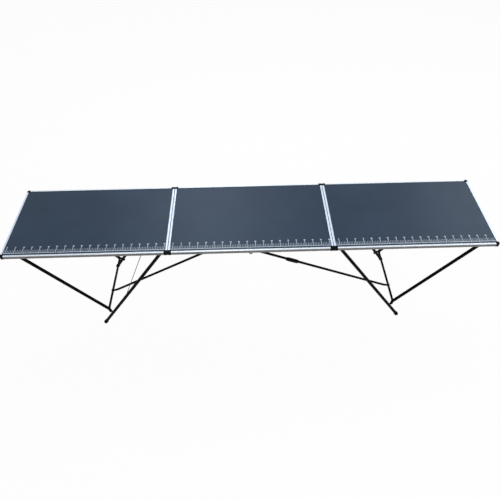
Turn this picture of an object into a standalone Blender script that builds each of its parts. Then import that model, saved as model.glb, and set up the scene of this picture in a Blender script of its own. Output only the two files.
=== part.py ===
"""Wallpaper pasting table: three boards in aluminium rails on two folding trestles.

x runs along the table, y from the front to the back and z up. The origin is on the
floor under the middle of the table. All lengths are in metres.
"""
import math

import bmesh
import bpy
from mathutils import Matrix, Vector

# Whole table
TABLE_LENGTH = 3.0
TABLE_WIDTH = 0.6
TABLE_HEIGHT = 0.78
PANEL_GAP = 0.0016
CLEARANCE = 0.0003
CUT_OVERRUN = 0.004
MERGE_DISTANCE = 0.000001
TURN_MERGE_DISTANCE = 0.00001

# Boards and rails
BOARD_THICKNESS = 0.005
RAIL_HEIGHT = 0.022
RAIL_WALL = 0.0014
RAIL_ROUND = 0.0025
LIP_WIDTH = 0.012
SHELF_WIDTH = 0.0095
RETURN_WIDTH = 0.011

# Corner caps
CAP_SIZE = 0.0215
CAP_PROUD = 0.0006
CAP_OUTER_ROUND = 0.009
CAP_INNER_ROUND = 0.0015
CAP_EDGE_ROUND = 0.0008
CAP_JOIN = 0.002

# Panel hinges
HINGE_DROP = 0.010
HINGE_WIDTH = 0.072
HINGE_INSET = 0.095
HINGE_LEAF_LENGTH = 0.025
HINGE_PLATE = 0.0018
HINGE_BARREL_RADIUS = 0.0045
HINGE_PIN_RADIUS = 0.0022
HINGE_PIN_HEAD_RADIUS = 0.0040
HINGE_PIN_HEAD_LENGTH = 0.0016
KNUCKLE_WIDTH = 0.024

# Leg frames, pivoted near the joint lines
TUBE_DIAMETER = 0.020
TUBE_BEND_RADIUS = 0.040
TUBE_BELOW_RAIL = 0.001
LEG_INSET = 0.038
LEG_TOP_INSET = 0.040
FOOT_REACH = 0.517
STUD_UP_LEG = 0.1255
STUD_RADIUS = 0.004
STUD_HEIGHT = 0.0054
STUD_ROOT = 0.004
STAY_STUD_DOWN_LEG = 0.513
STAY_STUD_RADIUS = 0.003

# Foot caps
FOOT_CAP_RADIUS = 0.0135
FOOT_CAP_LENGTH = 0.034
FOOT_CAP_BASE = 0.009
FOOT_CAP_ROUND = 0.0015
FOOT_CAP_FLAT_DEPTH = 0.004

# Strut frames, pivoted near the outer ends
STRUT_INSIDE_LEG = 0.026
STRUT_TOP_INSET = 0.050
STRUT_TAIL = 0.016
STRUT_PLATE_THICKNESS = 0.0034
STRUT_PLATE_WIDTH = 0.026
STRUT_PLATE_LENGTH = 0.025
STRUT_TAPER_LENGTH = 0.026
STRUT_PLATE_TO_LEG = 0.0012
SLOT_FLARE = 0.0012
CROSSBAR_DIAMETER = 0.014
CROSSBAR_ABOVE_STUD = 0.034

# Bearing blocks under the boards
BEARING_INSET = 0.170
BEARING_WIDTH = 0.026
BEARING_WALL = 0.005
BEARING_FOOT_LENGTH = 0.050
BEARING_FOOT_THICKNESS = 0.004
BEARING_FILLET = 0.004

# Cross rod under the middle board
CROSS_ROD_DIAMETER = 0.012
CROSS_ROD_BELOW_RAIL = 0.016
CROSS_ROD_BEARING_INSET = 0.023
CROSS_ROD_BEARING_WIDTH = 0.016

# Braces between the cross rod and the crossbars
BRACE_DIAMETER = 0.014
BRACE_STRIP_THICKNESS = 0.0034
BRACE_STRIP_WIDTH = 0.018
BRACE_TAPER_LENGTH = 0.022
BRACE_EYE_INSET = {"left": 0.185, "right": 0.048}
BRACE_HOOK_INSET = {"left": 0.231, "right": 0.212}
BRACE_EYE_WRAP_DEG = 290.0
BRACE_HOOK_WRAP_DEG = 118.0
BRACE_LOCK_FROM_HOOK = 0.859

# Lock sleeves on the braces
SLEEVE_LENGTH = 0.088
SLEEVE_WALL = 0.0028
SLEEVE_CLEARANCE = 0.0004
SLEEVE_KEEL_DEPTH = 0.0065
SLEEVE_KEEL_HALF_WIDTH = 0.0045
SLEEVE_NECK_SHARE = 1.6

# Wire stays between the boards and the legs
STAY_DIAMETER = 0.0035
STAY_TOP_INSET = 0.150
STAY_PIVOT_BELOW_BOARD = 0.009
STAY_EYE_WRAP_DEG = 250.0
STAY_HOOK_WRAP_DEG = 170.0
STAY_PIN_RADIUS = 0.0025
STAY_LUG_WIDTH = 0.014
STAY_LUG_THICKNESS = 0.004
STAY_LEAD_SHARE = 3.0

# Sections of formed tubes: 2 is an ellipse, and more has flatter sides
ROUND_FULLNESS = 2.0
STRIP_FULLNESS = 4.0
PLATE_FULLNESS = 5.0
PLATE_TAPER_SHARES = (0.25, 0.5, 0.75, 1.0)
STRIP_TAPER_SHARES = (0.0, 0.35, 0.7, 1.0)
PLATE_END_TURNS_DEG = (0.0, 35.0, 60.0)

# Facets
TUBE_SIDES = 16
ROD_SIDES = 12
WIRE_SIDES = 8
FULL_TURN_STEPS = 16
HALF_TURN_STEPS = 8
CORNER_STEPS = 4
SMALL_CORNER_STEPS = 2
FILLET_STEPS = 3
WRAP_STEP_DEG = 24.0

# Sizes that follow from the ones above
panel_length = (TABLE_LENGTH - PANEL_GAP * 2) / 3
half_width = TABLE_WIDTH / 2
rail_bottom = TABLE_HEIGHT - RAIL_HEIGHT
board_top = TABLE_HEIGHT - RAIL_WALL - CLEARANCE
board_bottom = board_top - BOARD_THICKNESS
board_inset = CAP_PROUD + RAIL_WALL + CLEARANCE
hinge_z = rail_bottom - HINGE_DROP
hinge_x = (panel_length + PANEL_GAP) / 2
tube_radius = TUBE_DIAMETER / 2
tube_z = rail_bottom - TUBE_BELOW_RAIL - tube_radius
panel_inner_end = panel_length / 2 + PANEL_GAP
panel_outer_end = TABLE_LENGTH / 2
leg_spread = half_width - LEG_INSET
strut_spread = leg_spread - STRUT_INSIDE_LEG
bearing_spread = half_width - BEARING_INSET
cross_rod_bearing_spread = half_width - CROSS_ROD_BEARING_INSET
leg_pivot = Vector((panel_inner_end + LEG_TOP_INSET, 0.0, tube_z))
leg_foot = Vector((leg_pivot.x + FOOT_REACH, 0.0, 0.0))
leg_line = (leg_foot - leg_pivot).normalized()
strut_pivot = Vector((panel_outer_end - STRUT_TOP_INSET, 0.0, tube_z))
stud_place = leg_foot - leg_line * STUD_UP_LEG
strut_line = (stud_place - strut_pivot).normalized()
strut_length = (stud_place - strut_pivot).length + STRUT_TAIL
crossbar_place = stud_place - strut_line * CROSSBAR_ABOVE_STUD
crossbar_radius = CROSSBAR_DIAMETER / 2
cross_rod_radius = CROSS_ROD_DIAMETER / 2
cross_rod_place = Vector((0.0, 0.0, rail_bottom - CROSS_ROD_BELOW_RAIL))
brace_radius = BRACE_DIAMETER / 2
stay_radius = STAY_DIAMETER / 2
stay_pivot = Vector((panel_inner_end + STAY_TOP_INSET, 0.0, board_bottom - STAY_PIVOT_BELOW_BOARD))
stay_stud_place = leg_pivot + leg_line * STAY_STUD_DOWN_LEG
stay_spread = (strut_spread + leg_spread) / 2

SIDES = {"left": -1.0, "right": 1.0}
ENDS = {"front": -1.0, "back": 1.0}


def clear_scene():
    """Remove whatever the scene holds."""
    for thing in list(bpy.data.objects):
        bpy.data.objects.remove(thing, do_unlink=True)


def new_collection(name):
    """Make a collection in the scene."""
    collection = bpy.data.collections.new(name)
    bpy.context.scene.collection.children.link(collection)
    return collection


def new_material(name, colour, roughness, metallic):
    """Make a plain surface of one colour."""
    material = bpy.data.materials.new(name)
    material.use_nodes = True
    shader = material.node_tree.nodes["Principled BSDF"]
    shader.inputs["Base Color"].default_value = (*colour, 1.0)
    shader.inputs["Roughness"].default_value = roughness
    shader.inputs["Metallic"].default_value = metallic
    return material


clear_scene()
table = new_collection("wallpaper_pasting_table")
cutters = new_collection("cutters")
board_grey = new_material("board_grey", (0.06, 0.08, 0.12), 0.45, 0.0)
aluminium = new_material("aluminium", (0.78, 0.79, 0.80), 0.30, 1.0)
black_plastic = new_material("black_plastic", (0.018, 0.018, 0.020), 0.55, 0.0)
black_steel = new_material("black_steel", (0.014, 0.014, 0.015), 0.38, 0.3)
plated_steel = new_material("plated_steel", (0.55, 0.56, 0.58), 0.32, 1.0)


def side_point(point, side, y=0.0):
    """Place a point of the right-hand half on the given side of the table."""
    return Vector((point.x * side, y, point.z))


def new_pivot(name, place, parent=None):
    """Make an empty on a joint's axis."""
    empty = bpy.data.objects.new(name, None)
    empty.matrix_world = Matrix.Translation(place)
    table.objects.link(empty)
    bpy.context.view_layer.update()
    if parent:
        carry(empty, parent)
    return empty


def carry(thing, parent):
    """Hang an object on an empty without moving it."""
    thing.parent = parent
    thing.matrix_parent_inverse = parent.matrix_world.inverted()


def finish(thing, material, parent):
    """Give an object its material and the body that it belongs to."""
    if not thing.data.materials:
        thing.data.materials.append(material)
    if parent:
        carry(thing, parent)
    return thing


def frame_of(origin, across, upward):
    """The matrix whose first two axes are the given ones."""
    first = Vector(across).normalized()
    second = Vector(upward).normalized()
    third = first.cross(second)
    matrix = Matrix((first, second, third)).transposed().to_4x4()
    matrix.translation = origin
    return matrix


def arc(centre, radius, start_deg, end_deg, steps):
    """Points along an arc, its two ends included."""
    points = []
    for step in range(steps + 1):
        angle = math.radians(start_deg + (end_deg - start_deg) * step / steps)
        points.append((centre[0] + radius * math.cos(angle), centre[1] + radius * math.sin(angle)))
    return points


def eased(share):
    """A share that starts and ends level."""
    return share * share * (3 - 2 * share)


def outline_curve(name, loops, depth, matrix, edge_round=0.0):
    """A flat outline with its holes, thickened evenly to both sides."""
    curve = bpy.data.curves.new(name, "CURVE")
    curve.dimensions = "2D"
    curve.fill_mode = "BOTH"
    curve.extrude = depth / 2 - edge_round
    curve.bevel_depth = edge_round
    curve.bevel_resolution = 1
    curve.offset = -edge_round
    for loop in loops:
        spline = curve.splines.new("POLY")
        spline.points.add(len(loop) - 1)
        for point, place in zip(spline.points, loop):
            point.co = (place[0], place[1], 0.0, 1.0)
        spline.use_cyclic_u = True
    thing = bpy.data.objects.new(name, curve)
    table.objects.link(thing)
    thing.matrix_world = matrix
    return thing


def to_mesh(thing):
    """Turn a curve object into a mesh object of the same name and place."""
    bpy.context.view_layer.update()
    evaluated = thing.evaluated_get(bpy.context.evaluated_depsgraph_get())
    mesh = bpy.data.meshes.new_from_object(evaluated)
    place = thing.matrix_world.copy()
    name = thing.name
    bpy.data.objects.remove(thing, do_unlink=True)
    work = bmesh.new()
    work.from_mesh(mesh)
    bmesh.ops.remove_doubles(work, verts=work.verts, dist=MERGE_DISTANCE)
    bmesh.ops.recalc_face_normals(work, faces=work.faces)
    work.to_mesh(mesh)
    work.free()
    solid = bpy.data.objects.new(name, mesh)
    table.objects.link(solid)
    solid.matrix_world = place
    return solid


def outline_solid(name, loops, depth, matrix, edge_round=0.0):
    """A mesh made from a flat outline."""
    return to_mesh(outline_curve(name, loops, depth, matrix, edge_round))


def box_solid(name, low, high, collection=table):
    """A box between two corners."""
    work = bmesh.new()
    bmesh.ops.create_cube(work, size=1.0)
    low, high = Vector(low), Vector(high)
    sizes = high - low
    bmesh.ops.scale(work, vec=sizes, verts=work.verts)
    mesh = bpy.data.meshes.new(name)
    work.to_mesh(mesh)
    work.free()
    thing = bpy.data.objects.new(name, mesh)
    collection.objects.link(thing)
    thing.matrix_world = Matrix.Translation((low + high) / 2)
    return thing


def cylinder_solid(name, radius, length, matrix, sides=TUBE_SIDES):
    """A cylinder along the third axis of its frame, centred on its origin."""
    work = bmesh.new()
    bmesh.ops.create_cone(
        work, cap_ends=True, segments=sides, radius1=radius, radius2=radius, depth=length
    )
    mesh = bpy.data.meshes.new(name)
    work.to_mesh(mesh)
    work.free()
    thing = bpy.data.objects.new(name, mesh)
    table.objects.link(thing)
    thing.matrix_world = matrix
    return thing


def turned_solid(name, profile, matrix, sides=TUBE_SIDES):
    """A closed profile of radius and height, turned about the third axis of its frame."""
    mesh = bpy.data.meshes.new(name)
    points = [(radius, 0.0, height) for radius, height in profile]
    edges = [(index, index + 1) for index in range(len(points) - 1)]
    mesh.from_pydata(points, edges, [])
    thing = bpy.data.objects.new(name, mesh)
    table.objects.link(thing)
    thing.matrix_world = matrix
    screw = thing.modifiers.new("turn", "SCREW")
    screw.steps = sides
    screw.render_steps = sides
    screw.use_merge_vertices = True
    screw.merge_threshold = TURN_MERGE_DISTANCE
    return apply_modifiers(thing)


def apply_modifiers(thing):
    """Keep the evaluated shape of an object as its mesh."""
    bpy.context.view_layer.update()
    evaluated = thing.evaluated_get(bpy.context.evaluated_depsgraph_get())
    mesh = bpy.data.meshes.new_from_object(evaluated)
    thing.modifiers.clear()
    thing.data = mesh
    return thing


def combine(thing, other, operation):
    """Cut another object from this one, or weld it on, and drop the other."""
    step = thing.modifiers.new(operation.lower(), "BOOLEAN")
    step.operation = operation
    step.solver = "EXACT"
    step.material_mode = "TRANSFER"
    step.object = other
    apply_modifiers(thing)
    bpy.data.objects.remove(other, do_unlink=True)
    return thing


class Station:
    """One cross-section of a formed tube, at a place and heading in the tube's plane."""

    def __init__(self, along, beside, heading_deg, half_in, half_across, fullness, shift=0.0):
        self.along = along
        self.beside = beside
        self.heading = math.radians(heading_deg)
        self.half_in = half_in
        self.half_across = half_across
        self.fullness = fullness
        self.shift = shift

    def turned_round(self):
        """The same cross-section, heading the other way."""
        self.heading += math.pi
        return self

    def ring(self, plane, sides):
        """The points of this cross-section, in world places."""
        points = []
        for step in range(sides):
            angle = math.tau * (step + 0.5) / sides
            inward = rounded(math.cos(angle), self.fullness) * self.half_in
            across = rounded(math.sin(angle), self.fullness) * self.half_across
            along = self.along - math.sin(self.heading) * inward
            beside = self.beside + math.cos(self.heading) * inward
            points.append(plane @ Vector((along, beside, self.shift + across)))
        return points


def rounded(value, fullness):
    """A circle's coordinate, pushed out towards a flat-sided section."""
    return math.copysign(abs(value) ** (2 / fullness), value)


def formed_tube(name, plane, stations, sides=TUBE_SIDES):
    """A closed tube through unlike cross-sections."""
    work = bmesh.new()
    rings = []
    for station in stations:
        rings.append([work.verts.new(place) for place in station.ring(plane, sides)])
    for lower, upper in zip(rings, rings[1:]):
        for index in range(sides):
            following = (index + 1) % sides
            work.faces.new((lower[index], lower[following], upper[following], upper[index]))
    work.faces.new(rings[0])
    work.faces.new(rings[-1])
    bmesh.ops.recalc_face_normals(work, faces=work.faces)
    mesh = bpy.data.meshes.new(name)
    work.to_mesh(mesh)
    work.free()
    thing = bpy.data.objects.new(name, mesh)
    table.objects.link(thing)
    return thing


def wrap_stations(centre, radius, start_deg, wrap_deg, half_in, half_across, fullness, shift_at):
    """Cross-sections round a bend that turns left, or right where the wrap is negative."""
    steps = max(2, round(abs(wrap_deg) / WRAP_STEP_DEG))
    turn = math.copysign(90.0, wrap_deg)
    stations = []
    for step in range(steps + 1):
        angle_deg = start_deg + wrap_deg * step / steps
        along = centre[0] + radius * math.cos(math.radians(angle_deg))
        beside = centre[1] + radius * math.sin(math.radians(angle_deg))
        shift = shift_at(along)
        stations.append(Station(along, beside, angle_deg + turn, half_in, half_across, fullness, shift))
    return stations


def no_shift(_along):
    """The offset of a tube that stays in its plane."""
    return 0.0


def rail_outline():
    """The rail's section, inward from its outer face and up from its lower edge."""
    slot_top = RAIL_HEIGHT - RAIL_WALL
    slot_bottom = slot_top - BOARD_THICKNESS - CLEARANCE * 2
    points = arc((RAIL_ROUND, RAIL_ROUND), RAIL_ROUND, 270.0, 180.0, FILLET_STEPS)
    points += arc((RAIL_ROUND, RAIL_HEIGHT - RAIL_ROUND), RAIL_ROUND, 180.0, 90.0, FILLET_STEPS)
    points += [
        (LIP_WIDTH, RAIL_HEIGHT),
        (LIP_WIDTH, slot_top),
        (RAIL_WALL, slot_top),
        (RAIL_WALL, slot_bottom),
        (SHELF_WIDTH, slot_bottom),
        (SHELF_WIDTH, slot_bottom - RAIL_WALL),
        (RAIL_WALL, slot_bottom - RAIL_WALL),
        (RAIL_WALL, RAIL_WALL),
        (RETURN_WIDTH, RAIL_WALL),
        (RETURN_WIDTH, 0.0),
    ]
    return points


def make_rail(name, length, origin, inward, parent):
    """One straight rail, placed by the middle of its outer lower edge."""
    matrix = frame_of(origin, inward, (0.0, 0.0, 1.0))
    return finish(outline_solid(name, [rail_outline()], length, matrix), aluminium, parent)


def corner_outline(near, far, rounds):
    """A rectangle between two corners with its own radius at each corner."""
    (left, front), (right, back) = near, far
    corners = [
        ((left, front), (1.0, 1.0), 180.0),
        ((right, front), (-1.0, 1.0), 270.0),
        ((right, back), (-1.0, -1.0), 0.0),
        ((left, back), (1.0, -1.0), 90.0),
    ]
    points = []
    for (corner, inward, start_deg), radius in zip(corners, rounds):
        centre = (corner[0] + inward[0] * radius, corner[1] + inward[1] * radius)
        steps = CORNER_STEPS if radius > CAP_INNER_ROUND else SMALL_CORNER_STEPS
        points += arc(centre, radius, start_deg, start_deg + 90.0, steps)
    return points


def make_corner_cap(name, corner_x, toward_x, end, outer):
    """A cap over one corner of a panel, slotted for the board."""
    corner_y = end * half_width
    inner_x = corner_x + toward_x * CAP_SIZE
    inner_y = corner_y - end * CAP_SIZE
    near = (min(corner_x, inner_x), min(corner_y, inner_y))
    far = (max(corner_x, inner_x), max(corner_y, inner_y))
    rounds = []
    for place in (near, (far[0], near[1]), far, (near[0], far[1])):
        is_tip = place == (corner_x, corner_y)
        rounds.append(CAP_OUTER_ROUND if is_tip and outer else CAP_INNER_ROUND)
    height = RAIL_HEIGHT + CAP_PROUD
    matrix = Matrix.Translation((0.0, 0.0, TABLE_HEIGHT - height / 2))
    cap = outline_solid(name, [corner_outline(near, far, rounds)], height, matrix, CAP_EDGE_ROUND)
    cap.data.materials.append(black_plastic)
    slot_x = corner_x + toward_x * (board_inset - CLEARANCE)
    slot_y = corner_y - end * (board_inset - CLEARANCE)
    past_x = inner_x + toward_x * CUT_OVERRUN
    past_y = inner_y - end * CUT_OVERRUN
    low = (min(slot_x, past_x), min(slot_y, past_y), board_bottom - CLEARANCE)
    high = (max(slot_x, past_x), max(slot_y, past_y), board_top + CLEARANCE)
    return combine(cap, box_solid(name + "_slot", low, high, cutters), "DIFFERENCE")


def make_end_rail(name, centre_x, side, outer, parent):
    """The rail across one end of a panel, with the two caps pressed onto its ends."""
    half = panel_length / 2
    length = TABLE_WIDTH - (CAP_SIZE - CAP_JOIN) * 2
    origin = Vector((centre_x + side * (half - CAP_PROUD), 0.0, rail_bottom))
    rail = make_rail(name, length, origin, (-side, 0.0, 0.0), parent)
    for end_name, end in ENDS.items():
        cap = make_corner_cap(f"{name}_{end_name}_cap", centre_x + side * half, -side, end, outer)
        combine(rail, cap, "UNION")
    return rail


def make_panel(name, centre_x, outer_side, parent):
    """One board with its four rails and its corner caps."""
    half = panel_length / 2
    low = (centre_x - half + board_inset, -half_width + board_inset, board_bottom)
    high = (centre_x + half - board_inset, half_width - board_inset, board_top)
    finish(box_solid(name + "_board", low, high), board_grey, parent)
    long_length = panel_length - (CAP_SIZE + CLEARANCE) * 2
    for end_name, end in ENDS.items():
        origin = Vector((centre_x, end * (half_width - CAP_PROUD), rail_bottom))
        make_rail(f"{name}_{end_name}_rail", long_length, origin, (0.0, -end, 0.0), parent)
    for side_name, side in SIDES.items():
        is_outer = side == outer_side
        place_name = side_name
        if outer_side:
            place_name = "outer" if is_outer else "inner"
        make_end_rail(f"{name}_{place_name}_end_rail", centre_x, side, is_outer, parent)


def leaf_outline(side):
    """A hinge leaf's section about the pin, towards the given side of it."""
    top = HINGE_DROP - CLEARANCE
    skirt_in = HINGE_BARREL_RADIUS - HINGE_PLATE
    skirt_foot_deg = math.degrees(math.acos(skirt_in / HINGE_BARREL_RADIUS))
    points = [(HINGE_LEAF_LENGTH, top), (skirt_in, top)]
    points += arc((0.0, 0.0), HINGE_BARREL_RADIUS, skirt_foot_deg, 360.0, ROD_SIDES)
    points += [(HINGE_BARREL_RADIUS, top - HINGE_PLATE), (HINGE_LEAF_LENGTH, top - HINGE_PLATE)]
    return [(along * side, height) for along, height in points]


def make_leaf(name, place, side, notches, bore_radius):
    """A hinge leaf with notches for the other leaf's knuckles, and its bore if it has one."""
    matrix = frame_of(place, (1.0, 0.0, 0.0), (0.0, 0.0, 1.0))
    leaf = outline_solid(name, [leaf_outline(side)], HINGE_WIDTH, matrix)
    if bore_radius:
        bore_length = HINGE_WIDTH + CUT_OVERRUN * 2
        bore = cylinder_solid(name + "_bore", bore_radius, bore_length, matrix, ROD_SIDES)
        combine(leaf, bore, "DIFFERENCE")
    reach = HINGE_BARREL_RADIUS + CLEARANCE * 3
    for low_y, high_y in notches:
        low = place + Vector((-reach, low_y, -reach))
        high = place + Vector((reach, high_y, reach))
        combine(leaf, box_solid(name + "_notch", low, high, cutters), "DIFFERENCE")
    return leaf


def hinge_pin_profile():
    """A hinge pin's section from its axis, with a head at each end."""
    head_base = HINGE_WIDTH / 2 + CLEARANCE
    head_top = head_base + HINGE_PIN_HEAD_LENGTH
    return [
        (0.0, head_top),
        (HINGE_PIN_HEAD_RADIUS, head_top),
        (HINGE_PIN_HEAD_RADIUS, head_base),
        (HINGE_PIN_RADIUS, head_base),
        (HINGE_PIN_RADIUS, -head_base),
        (HINGE_PIN_HEAD_RADIUS, -head_base),
        (HINGE_PIN_HEAD_RADIUS, -head_top),
        (0.0, -head_top),
    ]


def make_hinges(side_name, side, parent):
    """The two hinges of one joint line, each with its pin fast in the inner leaf."""
    half = HINGE_WIDTH / 2
    knuckle = KNUCKLE_WIDTH / 2
    middle_notch = [(-knuckle - CLEARANCE / 2, knuckle + CLEARANCE / 2)]
    end_notches = [
        (-half - CUT_OVERRUN, -knuckle + CLEARANCE / 2),
        (knuckle - CLEARANCE / 2, half + CUT_OVERRUN),
    ]
    for end_name, end in ENDS.items():
        place = Vector((side * hinge_x, end * (half_width - HINGE_INSET), hinge_z))
        name = f"{side_name}_{end_name}_hinge"
        outer = make_leaf(name + "_outer_leaf", place, side, end_notches, HINGE_PIN_RADIUS + CLEARANCE)
        finish(outer, plated_steel, parent)
        inner = make_leaf(name + "_inner_leaf", place, -side, middle_notch, 0.0)
        matrix = frame_of(place, (1.0, 0.0, 0.0), (0.0, 0.0, 1.0))
        pin = turned_solid(name + "_pin", hinge_pin_profile(), matrix, ROD_SIDES)
        finish(combine(inner, pin, "UNION"), plated_steel, None)


def bearing_outline(radius, axis_drop):
    """A bearing block's section about the tube's axis, with its two feet at the top."""
    outer = radius + CLEARANCE + BEARING_WALL
    foot = BEARING_FOOT_LENGTH / 2
    top = axis_drop
    foot_bottom = top - BEARING_FOOT_THICKNESS
    fillet = BEARING_FILLET
    points = [(foot, top), (-foot, top), (-foot, foot_bottom)]
    points += arc((-outer - fillet, foot_bottom - fillet), fillet, 90.0, 0.0, FILLET_STEPS)
    points += arc((0.0, 0.0), outer, 180.0, 360.0, HALF_TURN_STEPS)
    points += arc((outer + fillet, foot_bottom - fillet), fillet, 180.0, 90.0, FILLET_STEPS)
    points += [(foot, foot_bottom)]
    return points


def make_bearings(name, place, radius, spread, width, parent):
    """A pair of bearing blocks screwed to a board's underside."""
    axis_drop = board_bottom - CLEARANCE - place.z
    for end_name, end in ENDS.items():
        origin = Vector((place.x, end * spread, place.z))
        matrix = frame_of(origin, (1.0, 0.0, 0.0), (0.0, 0.0, 1.0))
        bore = arc((0.0, 0.0), radius + CLEARANCE, 0.0, 360.0, FULL_TURN_STEPS)[:-1]
        loops = [bearing_outline(radius, axis_drop), bore]
        block = outline_solid(f"{name}_{end_name}", loops, width, matrix)
        finish(block, black_plastic, parent)


def bent_stations(straight_end):
    """Cross-sections from a top tube's end, round the bend and down a leg."""
    bend = wrap_stations(
        (TUBE_BEND_RADIUS, -TUBE_BEND_RADIUS),
        TUBE_BEND_RADIUS,
        180.0,
        -90.0,
        tube_radius,
        tube_radius,
        ROUND_FULLNESS,
        no_shift,
    )
    return bend + [Station(straight_end, 0.0, 0.0, tube_radius, tube_radius, ROUND_FULLNESS)]


def limb_plane(side, end, pivot, line, spread):
    """The plane of a leg or strut: down it, outward across the table, and square to both."""
    origin = side_point(pivot, side, end * spread)
    down = Vector((line.x * side, 0.0, line.z))
    return frame_of(origin, down, (0.0, end, 0.0))


def make_top_tube(name, side, pivot, spread, parent):
    """The straight tube that joins the two limbs of a frame and turns in the bearings."""
    length = (spread - TUBE_BEND_RADIUS - CLEARANCE) * 2
    matrix = frame_of(side_point(pivot, side), (1.0, 0.0, 0.0), (0.0, 0.0, 1.0))
    return finish(cylinder_solid(name, tube_radius, length, matrix), black_steel, parent)


def weld_stud(leg, plane, down, radius):
    """Add a stud that stands inward from a leg."""
    inner_face = -tube_radius - STUD_HEIGHT
    root_face = -tube_radius + STUD_ROOT
    middle = plane @ Vector((down, (inner_face + root_face) / 2, 0.0))
    down_axis = plane.to_3x3() @ Vector((1.0, 0.0, 0.0))
    across_axis = plane.to_3x3() @ Vector((0.0, 0.0, 1.0))
    matrix = frame_of(middle, down_axis, across_axis)
    stud = cylinder_solid(leg.name + "_stud", radius, root_face - inner_face, matrix, ROD_SIDES)
    return combine(leg, stud, "UNION")


def make_leg(side_name, side, end_name, end, has_stay, parent):
    """One leg, bent at its top, with the stud that the strut hooks onto."""
    plane = limb_plane(side, end, leg_pivot, leg_line, leg_spread)
    length = (leg_foot - leg_pivot).length
    leg = formed_tube(f"{side_name}_{end_name}_leg", plane, bent_stations(length - FOOT_CAP_BASE))
    weld_stud(leg, plane, length - STUD_UP_LEG, STUD_RADIUS)
    if has_stay:
        weld_stud(leg, plane, STAY_STUD_DOWN_LEG, STAY_STUD_RADIUS)
    return finish(leg, black_steel, parent)


def make_foot_cap(name, side, end):
    """A cap over a leg's lower end, cut flat where it meets the floor."""
    plane = limb_plane(side, end, leg_pivot, leg_line, leg_spread)
    foot = (leg_foot - leg_pivot).length
    down = plane.to_3x3() @ Vector((1.0, 0.0, 0.0))
    outward = plane.to_3x3() @ Vector((0.0, 1.0, 0.0))
    tip_drop = FOOT_CAP_RADIUS * math.sqrt(1 - leg_line.z**2)
    tip = (FOOT_CAP_FLAT_DEPTH - tip_drop) / -leg_line.z
    matrix = frame_of(plane @ Vector((foot, 0.0, 0.0)), outward, down.cross(outward))
    bore = tube_radius + CLEARANCE
    seat = -FOOT_CAP_BASE + CLEARANCE
    rim = FOOT_CAP_BASE - FOOT_CAP_LENGTH
    profile = [
        (0.0, tip),
        (FOOT_CAP_RADIUS - FOOT_CAP_ROUND, tip),
        (FOOT_CAP_RADIUS, tip - FOOT_CAP_ROUND),
        (FOOT_CAP_RADIUS, rim),
        (bore, rim),
        (bore, seat),
        (0.0, seat),
    ]
    cap = turned_solid(name, profile, matrix)
    work = bmesh.new()
    work.from_mesh(cap.data)
    bmesh.ops.recalc_face_normals(work, faces=work.faces)
    work.to_mesh(cap.data)
    work.free()
    reach = FOOT_CAP_LENGTH
    centre = side_point(leg_foot, side, end * leg_spread)
    low = centre - Vector((reach, reach, reach))
    high = centre + Vector((reach, reach, 0.0))
    return combine(cap, box_solid(name + "_floor", low, high, cutters), "DIFFERENCE")


def make_leg_frame(side_name, side, parent):
    """The leg frame that carries one end of the table."""
    make_top_tube(side_name + "_leg_top_tube", side, leg_pivot, leg_spread, parent)
    for end_name, end in ENDS.items():
        make_leg(side_name, side, end_name, end, end == side, parent)
        cap = make_foot_cap(f"{side_name}_{end_name}_foot_cap", side, end)
        finish(cap, black_plastic, parent)


def slot_outline():
    """The open slot for the leg's stud, from the stud out towards the table's end."""
    radius = STUD_RADIUS + CLEARANCE
    mouth = STRUT_PLATE_WIDTH
    points = arc((0.0, 0.0), radius, 90.0, 270.0, HALF_TURN_STEPS)
    points += [(mouth, -radius - SLOT_FLARE), (mouth, radius + SLOT_FLARE)]
    return points


def make_strut(side_name, side, end_name, end, parent):
    """One strut, bent at its top and pressed flat at its slotted lower end."""
    plane = limb_plane(side, end, strut_pivot, strut_line, strut_spread)
    plate_start = strut_length - STRUT_PLATE_LENGTH
    taper_start = plate_start - STRUT_TAPER_LENGTH
    half_thickness = STRUT_PLATE_THICKNESS / 2
    plate_half = STRUT_PLATE_WIDTH / 2
    plate_beside = leg_spread - tube_radius - STRUT_PLATE_TO_LEG - half_thickness - strut_spread
    stations = bent_stations(taper_start)
    for share in PLATE_TAPER_SHARES:
        pressed = eased(share)
        stations.append(
            Station(
                taper_start + STRUT_TAPER_LENGTH * share,
                plate_beside * pressed,
                0.0,
                tube_radius + (half_thickness - tube_radius) * pressed,
                tube_radius + (plate_half - tube_radius) * pressed,
                ROUND_FULLNESS + (PLATE_FULLNESS - ROUND_FULLNESS) * pressed,
            )
        )
    for turn_deg in PLATE_END_TURNS_DEG:
        turn = math.radians(turn_deg)
        stations.append(
            Station(
                strut_length - plate_half + plate_half * math.sin(turn),
                plate_beside,
                0.0,
                half_thickness,
                plate_half * math.cos(turn),
                PLATE_FULLNESS,
            )
        )
    strut = formed_tube(f"{side_name}_{end_name}_strut", plane, stations)
    place = side_point(stud_place, side, end * (strut_spread + plate_beside))
    matrix = frame_of(place, (side, 0.0, 0.0), (0.0, 0.0, 1.0))
    slot = outline_solid(strut.name + "_slot", [slot_outline()], TUBE_DIAMETER, matrix)
    return finish(combine(strut, slot, "DIFFERENCE"), black_steel, parent)


def make_strut_frame(side_name, side, parent):
    """The strut frame with the crossbar that the brace holds."""
    make_top_tube(side_name + "_strut_top_tube", side, strut_pivot, strut_spread, parent)
    for end_name, end in ENDS.items():
        make_strut(side_name, side, end_name, end, parent)
    matrix = frame_of(side_point(crossbar_place, side), (1.0, 0.0, 0.0), (0.0, 0.0, 1.0))
    length = (strut_spread - tube_radius - CLEARANCE) * 2
    crossbar = cylinder_solid(side_name + "_crossbar", crossbar_radius, length, matrix)
    finish(crossbar, black_steel, parent)


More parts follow.
